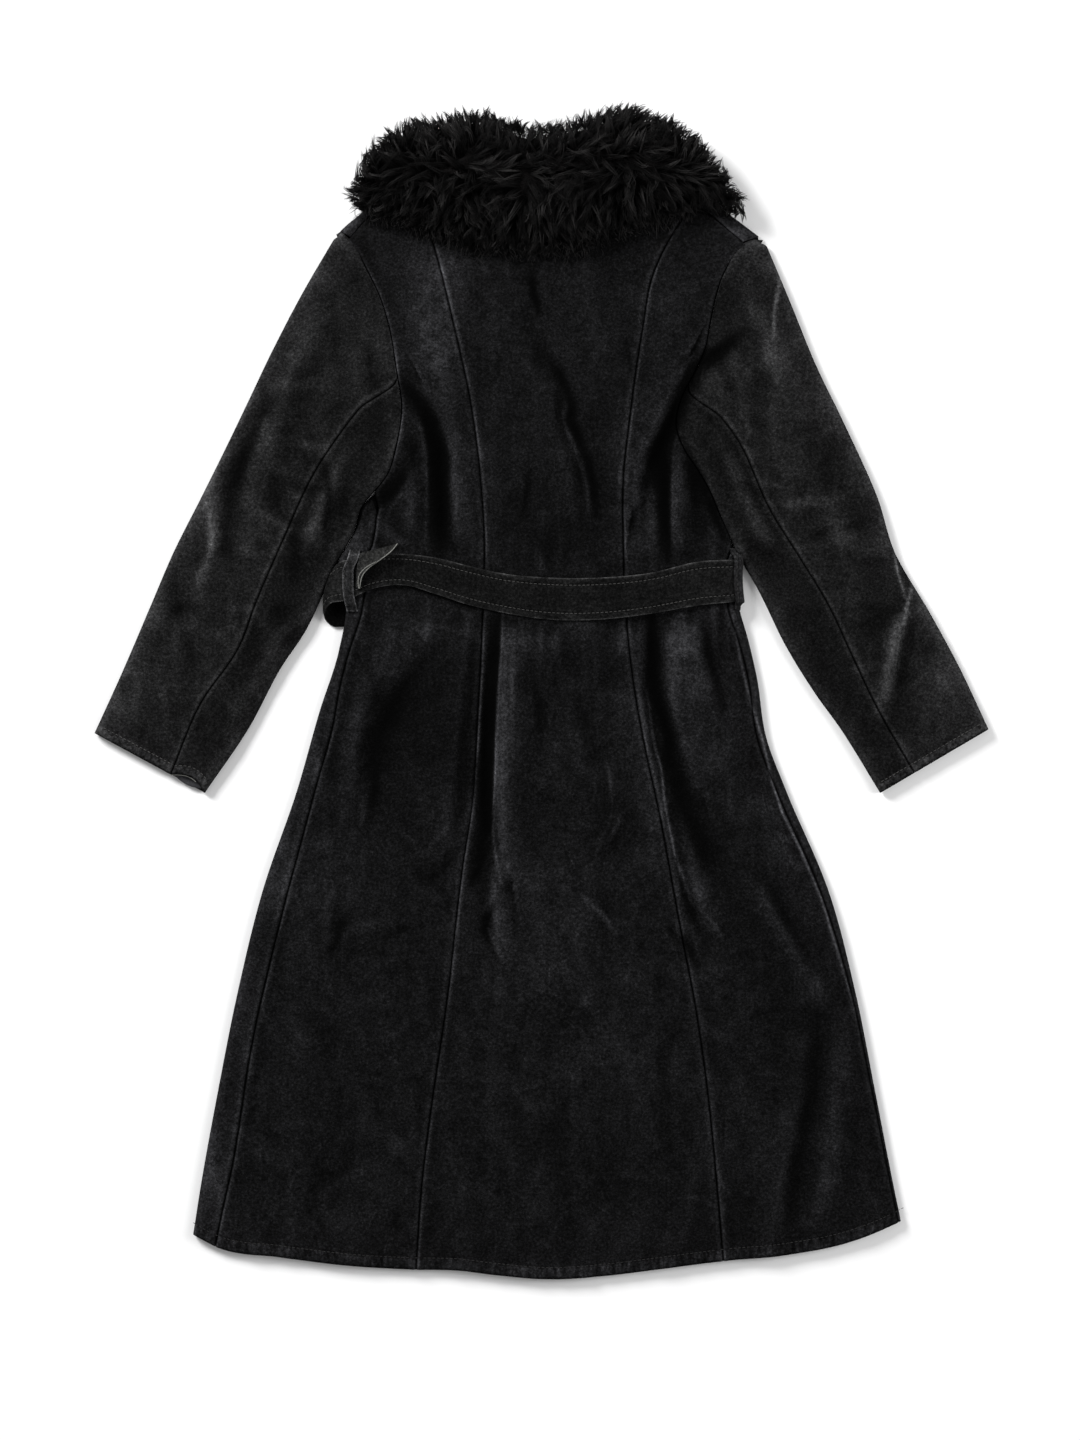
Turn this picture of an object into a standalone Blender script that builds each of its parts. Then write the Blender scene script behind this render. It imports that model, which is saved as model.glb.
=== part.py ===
"""A long suede-look coat with a deep fur collar and its belt, laid flat on its front.

The tables are in millimetres: x runs across (-x is the left of the back), y runs up the coat from hem to collar,
and z is the height above the surface that it lies on. new_mesh() turns millimetres into metres.
"""

import bpy
import numpy as np

METRES = 0.001

# Driving dimensions
WALL = 3.0  # the coat's cloth
BELT_WALL = 2.4
LOOP_WALL = 1.8
LINING_WALL = 1.0
SEAM_GAP = 0.3  # between two sewn pieces
SHOULDER_GAP = 1.0  # wider near the neck, under the collar
NECK_GAP = 4.5
ARMHOLE_GAP = 0.8
SIDE_GAP = 2.0  # between the body and a sleeve that lies against it
REST_HEIGHT = 9.6  # outer face of the back over one front
SLEEVE_HEIGHT = 10.6
LAP_HALF = 40.0  # the fronts lap this far past the middle
LAP_RISE = 3.7
LAP_BACK_RISE = 1.7
BELT_RISE = 3.1  # what lies over the belt's under part is lifted this much
FOLD_TOP = 6.0  # reach of a folded edge's rounding, on its upper and its lower side
FOLD_LOW = 5.5

# The body's outline and seams, each (height y, place x) from the hem up
OUTLINE_LEFT = (
    (-620, -375), (-566, -366), (-521, -359), (-416, -340), (-311, -319), (-206, -293), (-101, -257),
    (-17, -233), (46, -213), (99, -204.5), (140, -204), (156, -201.5), (172, -194.5), (198, -185), (214, -169),
    (229, -157.5), (256, -151), (282, -147.5), (304, -147.5), (337, -152.5), (393, -162.5), (429, -174.5),
    (462, -190.5), (484, -207),
)
OUTLINE_RIGHT = (
    (-620, 390), (-550, 377), (-521, 371), (-416, 350.5), (-311, 329.5), (-206, 301.5), (-101, 257), (-48, 237),
    (20, 226), (60, 216.5), (90, 208), (125, 202.5), (140, 200), (156, 195), (188, 180), (216, 169.5), (232, 161),
    (256, 147), (280, 142.5), (309, 147), (337, 161), (361, 172), (390, 178), (418, 184), (441, 190),
    (457, 198), (475, 214), (481, 232),
)
# How far the side seam lies inside the outline, by height: the front's cloth shows in between
STRIP_LEFT = (
    (-620, 25), (-566, 26), (-494, 30), (-384, 27), (-186, 26), (-97, 19), (-38, 19), (37, 11), (88, 17),
    (151, 23), (195, 14), (207, 1.0), (215, 0.0), (500, 0.0),
)
STRIP_RIGHT = (
    (-620, 3), (-400, 3.5), (-300, 5), (-200, 9), (-110, 10), (40, 10), (98, 12), (140, 10), (156, 1.0),
    (165, 0.0), (500, 0.0),
)
PRINCESS_LEFT = (
    (-620, -133), (-499, -124), (-444, -117), (-320, -99), (-176, -82), (-117, -73), (-23, -67), (78, -62),
    (164, -60), (225, -64), (304, -74), (379, -90), (417, -99), (477, -115), (530, -134),
)
PRINCESS_RIGHT = (
    (-620, 193), (-523, 185), (-404, 173), (-335, 163), (-240, 145), (-112, 121), (-58, 109), (32, 94),
    (81, 89), (158, 86), (225, 86), (298, 94), (382, 106), (443, 118), (468, 129), (492, 143), (520, 160),
)
# Edges that run across, each (place x, height y)
HEM = (
    (-400, -551), (-367, -568), (-341, -581.5), (-275, -592), (-212, -600), (-132, -605), (-86, -606),
    (-54, -610), (9, -615), (72, -611), (135, -603), (191, -596), (261, -589), (324, -576), (376, -555),
    (400, -543),
)
BACK_TOP = (
    (-230, 452), (-203, 477), (-182, 500), (-150, 514), (-105, 531), (-60, 526), (0, 523), (60, 526),
    (105, 532), (156, 514), (177, 502), (213, 475), (235, 458),
)
NECK_POINT = 105.0  # the collar seam meets the shoulder seam this far from the middle
SHOULDER_FOLD_LEFT = ((-230, 468), (-207, 487), (-182, 511), (-150, 524), (-105, 540))
SHOULDER_FOLD_RIGHT = ((105, 540), (156, 530), (177, 520), (208, 500), (232, 481), (250, 468))
SHOULDER_TIPS = {-1: (207.0, 203.0), 1: (232.0, 213.0)}  # how far out the shoulder's fold and its seam reach
SEAM_END_LEFT = 200.0  # above these heights the side seams lie under the sleeves
SEAM_END_RIGHT = 160.0
V_POINT = 400.0  # where the fronts' necklines meet the lap

# Sleeves, a row for each section from armhole to cuff: the outer edge's x and y, the inner edge's x and y, and
# the back seam's share of the way across
SLEEVE_LEFT = (
    (-214, 486, -149, 282, 0.730),
    (-250, 424, -153, 250, 0.725),
    (-283, 361, -172, 212, 0.690),
    (-313, 298, -196, 172, 0.640),
    (-354, 214, -216, 135, 0.640),
    (-386, 151, -246, 70, 0.670),
    (-413, 88, -276, 24, 0.690),
    (-440, 25, -309, -38, 0.700),
    (-470, -41, -354, -104, 0.680),
)
SLEEVE_RIGHT = (
    (233, 481, 144, 283, 0.780),
    (262, 411, 150, 252, 0.770),
    (289, 345, 173, 215, 0.720),
    (318, 285, 201, 156, 0.700),
    (352, 210, 229, 107, 0.690),
    (372, 148, 256, 52, 0.690),
    (408, 86, 286, 3, 0.690),
    (440, 27, 318, -42, 0.690),
    (470, -37, 356, -104, 0.680),
)
ARMHOLE_REACH = 0.16  # the share of the sleeve over which its sections straighten from the armhole's curve
SLEEVE_STATIONS = 21
UNDER_SEAM = 0.86  # the hidden seam's share of the way across the under side
CUFF_GAPE = 5.5  # the left cuff's upper layer stands back this much

# The collar's outline, each (place x, height y), and its pile, (share from the fall's edge to the roll, z)
COLLAR_TOP = (
    (-202, 527), (-191, 555), (-154, 592), (-107, 603), (-65, 609), (-12, 594), (51, 605), (88, 617),
    (124, 605), (166, 580), (198, 540), (210, 516),
)
COLLAR_FALL = (
    (-202, 512), (-195, 503), (-171, 492), (-140, 483), (-110, 474), (-78, 463), (-17, 458), (45, 462),
    (75, 475), (107, 486), (137, 496), (167, 503), (210, 498),
)
COLLAR_PILE = ((0.0, 13), (0.03, 24), (0.12, 34), (0.30, 41), (0.55, 50), (0.75, 48), (0.90, 36), (0.98, 20))
COLLAR_STATIONS = 28
COLLAR_CLEAR = 1.3  # between the pile and the coat under it
COLLAR_STEP = 2.4  # the stand goes down to the floor this far past the coat's upper edge
COLLAR_END = 15.0  # the pile is this high at the collar's two ends

# The belt's edges over the back, each (place x, height y), and the middle of its part under the fronts
BELT_TOP = (
    (-206, 140), (-178, 146), (-149, 147), (-112, 143), (-75, 134), (-44, 127), (9, 122), (61, 122),
    (114, 127), (166, 139), (208, 141),
)
BELT_BOTTOM = (
    (-206, 97), (-178, 110), (-143, 114), (-112, 105), (-75, 93), (-44, 86), (9, 78), (61, 78), (114, 84),
    (166, 93), (208, 97),
)
BELT_UNDER = ((-230, 90), (-80, 104), (80, 104), (230, 119))
BELT_WIDTH = 44.0
BELT_CLEAR = 0.7  # between the belt and the highest cloth under it
BELT_ENDS = 6.0  # the belt's two ends lie this far from the middle, under the fronts
BELT_LEFT = -206.0  # where the belt turns under, loose at the left and tight at the right
BELT_RIGHT = 207.5
TURN_STEPS = (-80, -50, -20, 10, 40, 68)  # degrees round each turn, from the floor up
TURN_UPPER = (-201.5, 11.5, 141.0)  # the loose turn's upper edge: x, its reach, y on top
TURN_LOWER = (-214.0, 15.0, 97.0)
TURN_BULGE = 4.5

# A loop, as (share along it, share of the way up from the coat to over the belt)
LOOP_ARCH = (
    (0, 0), (0.07, 0.25), (0.13, 0.9), (0.25, 1), (0.5, 1), (0.75, 1), (0.87, 0.9), (0.93, 0.25), (1, 0),
)
LOOP_LEFT = (-200.0, 12.0, 154.0, 67.0, -5.0)  # x of one edge, width, upper y, length, lean of the lower end
LOOP_RIGHT = (153.0, 65.0)  # upper y, length
LOOP_CLEAR = 1.0  # between a loop and the belt
LOOP_ENDS_CLEAR = 1.3  # between a loop's ends and the coat

# The belt's turned corner, a row from its point down: the loop's side x and y, the raw edge's x, y and height
TURNED_EDGE = (
    (-187.5, 147.5, -154, 157, 7),
    (-188, 142, -158, 150, 9),
    (-188.6, 136, -166, 142, 9),
    (-189, 129, -177, 134, 7),
    (-189.6, 121, -184, 126, 5),
    (-190.2, 113, -187.5, 114, 3),
)

# Folds, each a line from its upper to its lower end, its height, and its width towards -x and towards +x
FOLDS = (
    # upper back
    (((-122, 322), (-104, 288), (-91, 250), (-88, 165)), 11, 9, 30),
    (((-152, 285), (-141, 245), (-137, 200), (-139, 165)), 6, 14, 10),
    (((152, 350), (136, 318), (119, 285), (104, 250), (96, 200)), 11, 35, 9),
    (((146, 255), (143, 222), (142, 180), (150, 150)), 6, 8, 14),
    (((10, 330), (12, 290), (30, 250), (38, 200)), 4, 22, 8),
    (((-15, 440), (-20, 390), (-30, 320)), 2.5, 40, 40),
    # left skirt
    (((-80, 75), (-88, 0), (-96, -80), (-102, -160)), 6, 32, 10),
    (((-158, 55), (-188, 0), (-200, -60), (-206, -120)), 5, 14, 12),
    (((-230, -160), (-250, -260), (-262, -380), (-268, -560)), 3, 30, 30),
    # the deep pleat and what runs on from it
    (((-32, 77), (-38, 17), (-41, -58), (-42, -107), (-40, -150), (-33, -188)), 12, 9, 32),
    (((-44, -168), (-50, -225), (-38, -265)), 5, 8, 16),
    (((-60, -300), (-75, -420), (-80, -600)), 3, 30, 30),
    # right skirt
    (((96, 78), (100, 0), (108, -60), (122, -110), (142, -190)), 6, 26, 9),
    (((136, 76), (140, -5), (153, -55), (168, -100)), 8, 10, 30),
    (((150, -120), (160, -190), (176, -240)), 5, 9, 12),
    (((222, -200), (262, -262), (294, -318)), 5, 16, 10),
    (((272, -345), (264, -430), (250, -505), (240, -590)), 5, 26, 12),
    (((314, -370), (308, -440), (298, -510), (290, -570)), 4, 12, 18),
    (((80, -330), (90, -450), (96, -600)), 3, 34, 34),
    (((82, -122), (60, -164)), 3, 7, 7),
    # left sleeve
    (((-232, 400), (-262, 340), (-285, 270), (-300, 210)), 6, 20, 14),
    (((-205, 262), (-232, 190), (-252, 130)), 6, 12, 12),
    (((-330, 210), (-352, 130), (-384, 50)), 5, 16, 18),
    (((-262, 80), (-290, 30), (-325, -30)), 4, 12, 12),
    # right sleeve
    (((225, 410), (246, 350), (262, 300)), 5, 16, 20),
    (((190, 262), (214, 205), (243, 140)), 6, 12, 12),
    (((384, 98), (371, 56), (360, -12)), 7, 12, 9),
    (((300, 210), (322, 140), (330, 90)), 5, 16, 14),
)

# Rows of the body's panels, by height in the middle, and columns as shares of a panel's width
ROW_HEIGHTS = (
    -606, -572, -525, -475, -425, -380, -335, -292, -252, -214, -178, -142, -106, -70, -35, 0, 32, 56, 72,
    88, 108, 128, 144, 158, 178, 194, 206, 214, 230, 250, 267, 283, 297, 312, 328, 345, 375, 408, 438, 460, 472,
    482,
)
CENTRE_COLUMNS = (0, 0.06, 0.11, 0.16, 0.22, 0.31, 0.42, 0.54, 0.65, 0.75, 0.84, 0.92, 1)
SIDE_COLUMNS = (0, 0.14, 0.30, 0.46, 0.62, 0.75, 0.88, 1)
FRONT_COLUMNS = (0, 0.08, 0.2, 0.42, 0.6, 0.74, 1)  # on the floor, up to where the fronts lap
LAP_COLUMNS = (62, 45, 2, -LAP_HALF)
BAND_TOP = (1, 0.55, 0.25, 0.07, 0)  # shares of the strip, from the seam to the folded edge
BAND_LOW = (0.12, 0.45)  # shares of FOLD_LOW, on down to the floor

SUEDE = (0.018, 0.018, 0.020)
SUEDE_SLEEVE = (0.024, 0.023, 0.023)
FUR = (0.010, 0.009, 0.008)
REVERSE = (0.20, 0.21, 0.19)
LINING = (0.16, 0.16, 0.17)


def smooth(table, at):
    """A smooth curve through the table's (place, value) rows, level beyond its ends."""
    place, value = np.array(table, float).T
    slope = np.gradient(value, place)
    low = np.clip(np.searchsorted(place, at) - 1, 0, len(place) - 2)
    span = place[low + 1] - place[low]
    t = np.clip((np.asarray(at, float) - place[low]) / span, 0, 1)
    rise = 3 * t**2 - 2 * t**3
    bend = span * (slope[low] * (t**3 - 2 * t**2 + t) + slope[low + 1] * (t**3 - t**2))
    return value[low] + rise * (value[low + 1] - value[low]) + bend


def ease(start, end, at):
    """0 up to start, 1 from end on, and a soft step between."""
    t = np.clip((at - start) / (end - start), 0, 1)
    return t * t * (3 - 2 * t)


def fold_height(fold, x, y):
    """What one fold adds at each point: a soft ridge along its line, lower towards its ends."""
    line, height, width_minus, width_plus = fold
    steps = np.cumsum([0] + [np.hypot(b[0] - a[0], b[1] - a[1]) for a, b in zip(line, line[1:])])
    nearest = np.full(np.shape(x), np.inf)
    side = np.zeros(np.shape(x))
    along = np.zeros(np.shape(x))
    for (ax, ay), (bx, by), begin, end in zip(line, line[1:], steps, steps[1:]):
        t = np.clip(((x - ax) * (bx - ax) + (y - ay) * (by - ay)) / (end - begin) ** 2, 0, 1)
        away = np.hypot(x - ax - t * (bx - ax), y - ay - t * (by - ay))
        closer = away < nearest
        nearest = np.where(closer, away, nearest)
        side = np.where(closer, (bx - ax) * (y - ay) - (by - ay) * (x - ax), side)
        along = np.where(closer, (begin + t * (end - begin)) / steps[-1], along)
    width = np.where(side < 0, width_minus, width_plus)
    return height * np.exp(-((nearest / width) ** 2)) * (0.35 + 0.65 * np.sin(np.pi * along) ** 0.7)


def belt_band(x, y, full, clear):
    """1 where the belt presses on the cloth, over the back or under the fronts, and 0 clear of it."""
    middle = (smooth(BELT_TOP, x) + smooth(BELT_BOTTOM, x)) / 2
    return 1 - ease(full, clear, np.abs(y - middle))


def under_belt(x, y):
    """How far the belt's under part lifts what lies on it."""
    middle = np.interp(x, *np.transpose(BELT_UNDER))
    return BELT_RISE * (1 - ease(BELT_WIDTH / 2 + 11, BELT_WIDTH / 2 + 62, np.abs(y - middle)))


def seam_end(x):
    return np.where(x < 0, SEAM_END_LEFT, SEAM_END_RIGHT)


def side_weight(x, y):
    """1 where the fronts wrap round to a side seam, 0 where their armholes lie flat."""
    return 1 - ease(seam_end(x) - 4, seam_end(x) + 24, y)


def shoulder_fold(x):
    return np.where(x < 0, smooth(SHOULDER_FOLD_LEFT, x), smooth(SHOULDER_FOLD_RIGHT, x))


def inset_from_outline(x, y):
    """How far a point of the back lies inside the body's folded edges."""
    side = np.minimum(x - smooth(OUTLINE_LEFT, y), smooth(OUTLINE_RIGHT, y) - x)
    side = side + 80 * ease(seam_end(x) - 6, seam_end(x) + 2, y)
    shoulder = shoulder_fold(x) - y + 80 * (1 - ease(NECK_POINT - 8, NECK_POINT + 8, np.abs(x)))
    return np.clip(np.minimum(side, shoulder), 0, None)


def relief(x, y):
    """All the folds, pressed nearly flat where the belt crosses them."""
    total = sum(fold_height(fold, x, y) for fold in FOLDS)
    return total * (1 - 0.92 * belt_band(x, y, 24, 52))


def round_off(height, inset):
    """The height of a folded edge's upper side, down to half at the edge itself."""
    share = np.clip(1 - inset / FOLD_TOP, 0, 1)
    return height * (0.5 + 0.5 * np.sqrt(1 - share**2))


def back_height(x, y):
    lap = LAP_BACK_RISE * (1 - ease(LAP_HALF + 6, LAP_HALF + 30, np.abs(x)))
    return REST_HEIGHT + lap + under_belt(x, y) + relief(x, y)


def body_top(x, y):
    """The outer face of the back, over its whole outline."""
    return round_off(back_height(x, y), inset_from_outline(x, y))


def meeting_height(side, rim):
    """The height at which a line x = side(y) meets an edge y = rim(x)."""
    y = rim(side(0.0))
    for _ in range(80):
        y = 0.75 * y + 0.25 * rim(side(y))
    return float(y)


def patch(left, right, bottom, top, across, up):
    """A four-sided panel in plan, between x = left(y), x = right(y), y = bottom(x) and y = top(x)."""
    ends = [[meeting_height(side, rim) for rim in (bottom, top)] for side in (left, right)]
    v = np.array(up)[:, None]
    u = np.array(across)[None, :]

    def side_points(side, low_high, share):
        y = low_high[0] + (low_high[1] - low_high[0]) * share
        return np.stack([side(y), y])

    def rim_points(rim, end, share):
        first = left(ends[0][end])
        last = right(ends[1][end])
        x = first + (last - first) * share
        return np.stack([x, rim(x)])

    left_points = side_points(left, ends[0], v)
    right_points = side_points(right, ends[1], v)
    bottom_points = rim_points(bottom, 0, u)
    top_points = rim_points(top, 1, u)
    sides = (1 - u) * left_points + u * right_points
    rims = (1 - v) * bottom_points + v * top_points
    corners = (1 - v) * ((1 - u) * bottom_points[..., :1] + u * bottom_points[..., -1:])
    corners = corners + v * ((1 - u) * top_points[..., :1] + u * top_points[..., -1:])
    return sides + rims - corners


def row_shares():
    heights = np.array(ROW_HEIGHTS, float)
    return (heights - heights[0]) / (heights[-1] - heights[0])


def new_mesh(name, points, faces, colour, roughness=0.9):
    mesh = bpy.data.meshes.new(name)
    mesh.from_pydata([tuple(point) for point in np.asarray(points) * METRES], [], faces)
    mesh.update()
    obj = bpy.data.objects.new(name, mesh)
    bpy.context.scene.collection.objects.link(obj)
    material = bpy.data.materials.new(name)
    material.use_nodes = True
    shader = material.node_tree.nodes["Principled BSDF"]
    shader.inputs["Base Color"].default_value = (*colour, 1)
    shader.inputs["Roughness"].default_value = roughness
    shader.inputs["Metallic"].default_value = 0
    mesh.materials.append(material)
    mesh.shade_smooth()
    return obj


def grid_faces(rows, columns, closed=False):
    faces = []
    for r in range(rows - 1):
        for c in range(columns if closed else columns - 1):
            d = (c + 1) % columns
            faces.append((r * columns + c, r * columns + d, (r + 1) * columns + d, (r + 1) * columns + c))
    return faces


def rim_loop(rows, columns):
    """The grid's outer points, in order round it."""
    loop = [c for c in range(columns)]
    loop += [r * columns + columns - 1 for r in range(1, rows)]
    loop += [(rows - 1) * columns + c for c in range(columns - 2, -1, -1)]
    loop += [r * columns for r in range(rows - 2, 0, -1)]
    return loop


def grid_normals(grid):
    normals = np.cross(np.gradient(grid, axis=1), np.gradient(grid, axis=0))
    return normals / np.linalg.norm(normals, axis=2, keepdims=True)


def upward(normals):
    """The same normals, turned as one to face up."""
    return normals * np.sign(normals[..., 2].sum())


def sheet(name, outer, outward, wall, colour):
    """Cloth of this thickness, from its outer face's grid of points and the way out at each of them."""
    rows, columns, _ = outer.shape
    count = rows * columns
    points = np.concatenate([outer.reshape(-1, 3), (outer - wall * outward).reshape(-1, 3)])
    faces = grid_faces(rows, columns)
    loop = rim_loop(rows, columns)
    faces += [tuple(count + i for i in reversed(face)) for face in faces]
    faces += [(b, a, a + count, b + count) for a, b in zip(loop, loop[1:] + loop[:1])]
    if np.sum(grid_normals(outer) * outward) < 0:
        faces = [face[::-1] for face in faces]
    return new_mesh(name, points, faces, colour)


def level_sheet(name, outer, wall, colour, up=1.0):
    """Cloth that lies level enough for its thickness to be measured straight down, or up."""
    outward = np.zeros(outer.shape)
    outward[..., 2] = up
    return sheet(name, outer, outward, wall, colour)


def back_panel(name, left, right, across):
    x, y = patch(left, right, lambda x: smooth(HEM, x), lambda x: smooth(BACK_TOP, x), across, row_shares())
    return level_sheet(name, np.dstack([x, y, body_top(x, y)]), WALL, SUEDE)


def side_seam(outline, strip, inwards, y):
    return smooth(outline, y) + inwards * np.clip(smooth(strip, y), 0, None)


def seam_line(table, shift):
    return lambda y: smooth(table, y) + shift


def build_back():
    half = SEAM_GAP / 2
    left_seam = seam_line(PRINCESS_LEFT, 0)
    right_seam = seam_line(PRINCESS_RIGHT, 0)
    back_panel("back_centre", lambda y: left_seam(y) + half, lambda y: right_seam(y) - half, CENTRE_COLUMNS)
    back_panel(
        "back_side_left",
        lambda y: side_seam(OUTLINE_LEFT, STRIP_LEFT, 1, y) + half,
        lambda y: left_seam(y) - half,
        SIDE_COLUMNS,
    )
    back_panel(
        "back_side_right",
        lambda y: right_seam(y) + half,
        lambda y: side_seam(OUTLINE_RIGHT, STRIP_RIGHT, -1, y) - half,
        SIDE_COLUMNS,
    )


def front_floor(x, y, laps_over):
    """The outer, lower face of a front: on the floor but for the belt and the other front under it."""
    lap = LAP_RISE * ease(-LAP_HALF - 20, -LAP_HALF - 5, x) if laps_over else 0
    return under_belt(x, y) + lap


def front_top_edge(x, out):
    """The front's upper edge in plan: the shoulder's fold, then the neckline down to the lap."""
    v_slope = (smooth(BACK_TOP, out * NECK_POINT) - V_POINT) / (NECK_POINT + LAP_HALF)
    neckline = V_POINT + v_slope * (out * x + LAP_HALF)
    return np.where(out * x > NECK_POINT, shoulder_fold(x), neckline)


def front_panel(name, out, outline, strip, laps_over):
    """One front: a strip over the back's side, the folded edge, then flat on the floor to the lap."""
    inwards = -out
    up = row_shares()

    def edge(y):
        return smooth(outline, y)

    def floor_edge(y):
        return edge(y) + inwards * FOLD_LOW

    def hem(x):
        return smooth(HEM, x)

    def floor_top(x):
        return front_top_edge(x, out) - FOLD_LOW

    def lap_start(y):
        return np.full(np.shape(y), out * LAP_COLUMNS[0])[()]

    across = np.array(FRONT_COLUMNS)
    if out < 0:
        x, y = patch(floor_edge, lap_start, hem, floor_top, across, up)
    else:
        x, y = patch(lap_start, floor_edge, hem, floor_top, 1 - across[::-1], up)
        x, y = x[:, ::-1], y[:, ::-1]
    lap_x = out * np.array(LAP_COLUMNS[1:], float)[None, :]
    lap_y = hem(lap_x) + (floor_top(lap_x) - hem(lap_x)) * up[:, None]
    x = np.hstack([x, np.repeat(lap_x, len(up), axis=0)])
    y = np.hstack([y, lap_y])
    floor = np.dstack([x, y, front_floor(x, y, laps_over)])

    # The band round the side: from the seam on top, over the folded edge, down to the floor
    def rows_of(line, rim_low, rim_high):
        low = meeting_height(line, rim_low)
        high = meeting_height(line, rim_high)
        heights = low + (high - low) * up
        return np.stack([line(heights), heights], axis=-1)

    def seam_side(y):
        return side_seam(outline, strip, inwards, y) - inwards * SEAM_GAP / 2

    seam = rows_of(seam_side, hem, lambda x: smooth(BACK_TOP, x))
    end = seam_end(seam[:, 0])
    seam[:, 0] += out * 2.0 * ease(end - 12, end, seam[:, 1])
    seam[:, 0] = out * np.minimum(out * seam[:, 0], out * edge(seam[:, 1]))
    fold = rows_of(edge, hem, floor_top)
    foot = floor[:, 0, :2]
    count = len(BAND_TOP) + len(BAND_LOW)
    weight = side_weight(fold[:, 0], fold[:, 1])
    band, band_way = [], []
    for number, share in enumerate((*BAND_TOP, *BAND_LOW)):
        flat = fold + (foot - fold) * (0.4 + 0.6 * number / count)
        if number < len(BAND_TOP):
            plan = fold + (seam - fold) * share
            inset = np.abs(plan[:, 0] - fold[:, 0])
            height = round_off(back_height(plan[:, 0], plan[:, 1]), inset)
            angle = np.arccos(np.clip(1 - inset / FOLD_TOP, 0, 1))
            angle = np.full(angle.shape, np.pi / 2) if number == 0 else angle
            middle = height
        else:
            plan = fold + (foot - fold) * share
            height = floor[:, 0, 2] + (middle - floor[:, 0, 2]) * (1 - np.sqrt(1 - (1 - share) ** 2))
            angle = np.full(height.shape, -np.arccos(1 - share))
        plan = flat + (plan - flat) * weight[:, None]
        height = floor[:, 0, 2] + (height - floor[:, 0, 2]) * weight
        angle = (angle + np.pi / 2) * weight - np.pi / 2
        band.append(np.column_stack([plan, height]))
        band_way.append(np.column_stack([out * np.cos(angle), np.zeros(angle.shape), np.sin(angle)]))
    down = np.zeros(floor.shape)
    down[..., 2] = -1
    grid = np.concatenate([np.stack(band, axis=1), floor], axis=1)
    way = np.concatenate([np.stack(band_way, axis=1), down], axis=1)

    # The band over the shoulder: on from the last row, up over the fold and back to the shoulder seam
    last = grid[-1]
    x = last[:, 0]
    top = front_top_edge(x, out)
    shoulder = ease(NECK_POINT - 4, NECK_POINT + 8, out * x)
    fold_tip, seam_tip = SHOULDER_TIPS[out]
    pull = (seam_tip - NECK_POINT) / (fold_tip - NECK_POINT)
    seam_x = np.where(out * x > NECK_POINT, out * NECK_POINT + (x - out * NECK_POINT) * pull, x)
    seam_y = smooth(BACK_TOP, seam_x) + NECK_GAP - (NECK_GAP - SHOULDER_GAP) * ease(140, 200, out * seam_x)
    edge_height = body_top(x, top)
    rows, row_ways = [], []
    steps = [(share, False) for share in (*reversed(BAND_LOW), 0)]
    steps += [(share, True) for share in BAND_TOP[-2::-1]]
    for number, (share, above) in enumerate(steps, 1):
        if above:
            plan_x = x + (seam_x - x) * share
            plan_y = top + (seam_y - top) * share
            height = body_top(plan_x, plan_y)
            angle = np.arccos(np.clip(1 - (top - plan_y) / FOLD_TOP, 0, 1))
            angle = np.full(angle.shape, np.pi / 2) if share == 1 else angle
        else:
            plan_x = x
            plan_y = top - FOLD_LOW * share
            height = edge_height * (1 - np.sqrt(1 - (1 - share) ** 2))
            angle = np.full(x.shape, -np.arccos(1 - share))
        flat_y = top - FOLD_LOW * (1 - number / len(steps))
        angle = (angle + np.pi / 2) * shoulder - np.pi / 2
        plan_x = x + (plan_x - x) * shoulder
        plan_y = flat_y + (plan_y - flat_y) * shoulder
        height = last[:, 2] + (height - last[:, 2]) * shoulder
        rows.append(np.column_stack([plan_x, plan_y, height]))
        row_ways.append(np.column_stack([np.zeros(x.shape), np.cos(angle), np.sin(angle)]))
    grid = np.concatenate([grid, np.stack(rows)], axis=0)
    way = np.concatenate([way, np.stack(row_ways)], axis=0)
    return sheet(name, grid, way, WALL, SUEDE)


def sleeve_section(table, station):
    """One section across a sleeve: its outer edge, its inner edge and its back seam's share across."""
    rows = np.array(table, float)
    place = np.linspace(0, 1, len(rows))
    values = [smooth(np.column_stack([place, column]), station) for column in rows.T]
    return np.array(values[0:2]), np.array(values[2:4]), values[4]


def sleeve_point(outline, section, share, station):
    """A point across a section: on the armhole's own curve at the first, on a straight line past ARMHOLE_REACH.

    The outer edge leaves the armhole at once, so that the shoulder runs on into the sleeve.
    """
    outer, inner, _ = section
    straight = outer + (inner - outer) * share
    hole_y = straight[1]
    hole = np.array([smooth(outline, hole_y), hole_y])
    reach = ARMHOLE_REACH * (0.08 + 0.92 * ease(0, 0.35, share))
    return hole + (straight - hole) * ease(0, reach, station)


def sleeve_path(section, start, end, from_outer):
    """(share across, height as a share of the upper face's, angle of the way out) round one folded edge."""
    outer, inner, _ = section
    width = np.hypot(*(inner - outer))
    top_end = FOLD_TOP / width
    low_end = FOLD_LOW / width
    near = 0.0 if from_outer else 1.0
    sign = 1 if from_outer else -1
    top_count, low_count = (7, 5) if from_outer else (4, 2)
    turn = np.pi / 2
    reach = near + sign * top_end - start
    path = [(start + reach * t, 1.0, turn) for t in 1 - (1 - np.linspace(0, 1, top_count)) ** 1.5]
    for share in (0.5, 0.12, 0):
        angle = np.arccos(1 - share)
        path.append((near + sign * top_end * share, 0.5 + 0.5 * np.sin(angle), angle))
    for share in BAND_LOW:
        angle = np.arccos(1 - share)
        path.append((near + sign * low_end * share, 0.5 - 0.5 * np.sin(angle), -angle))
    foot = near + sign * low_end
    path += [(foot + (end - foot) * t, 0.0, -turn) for t in np.linspace(0, 1, low_count)]
    return path


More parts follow.
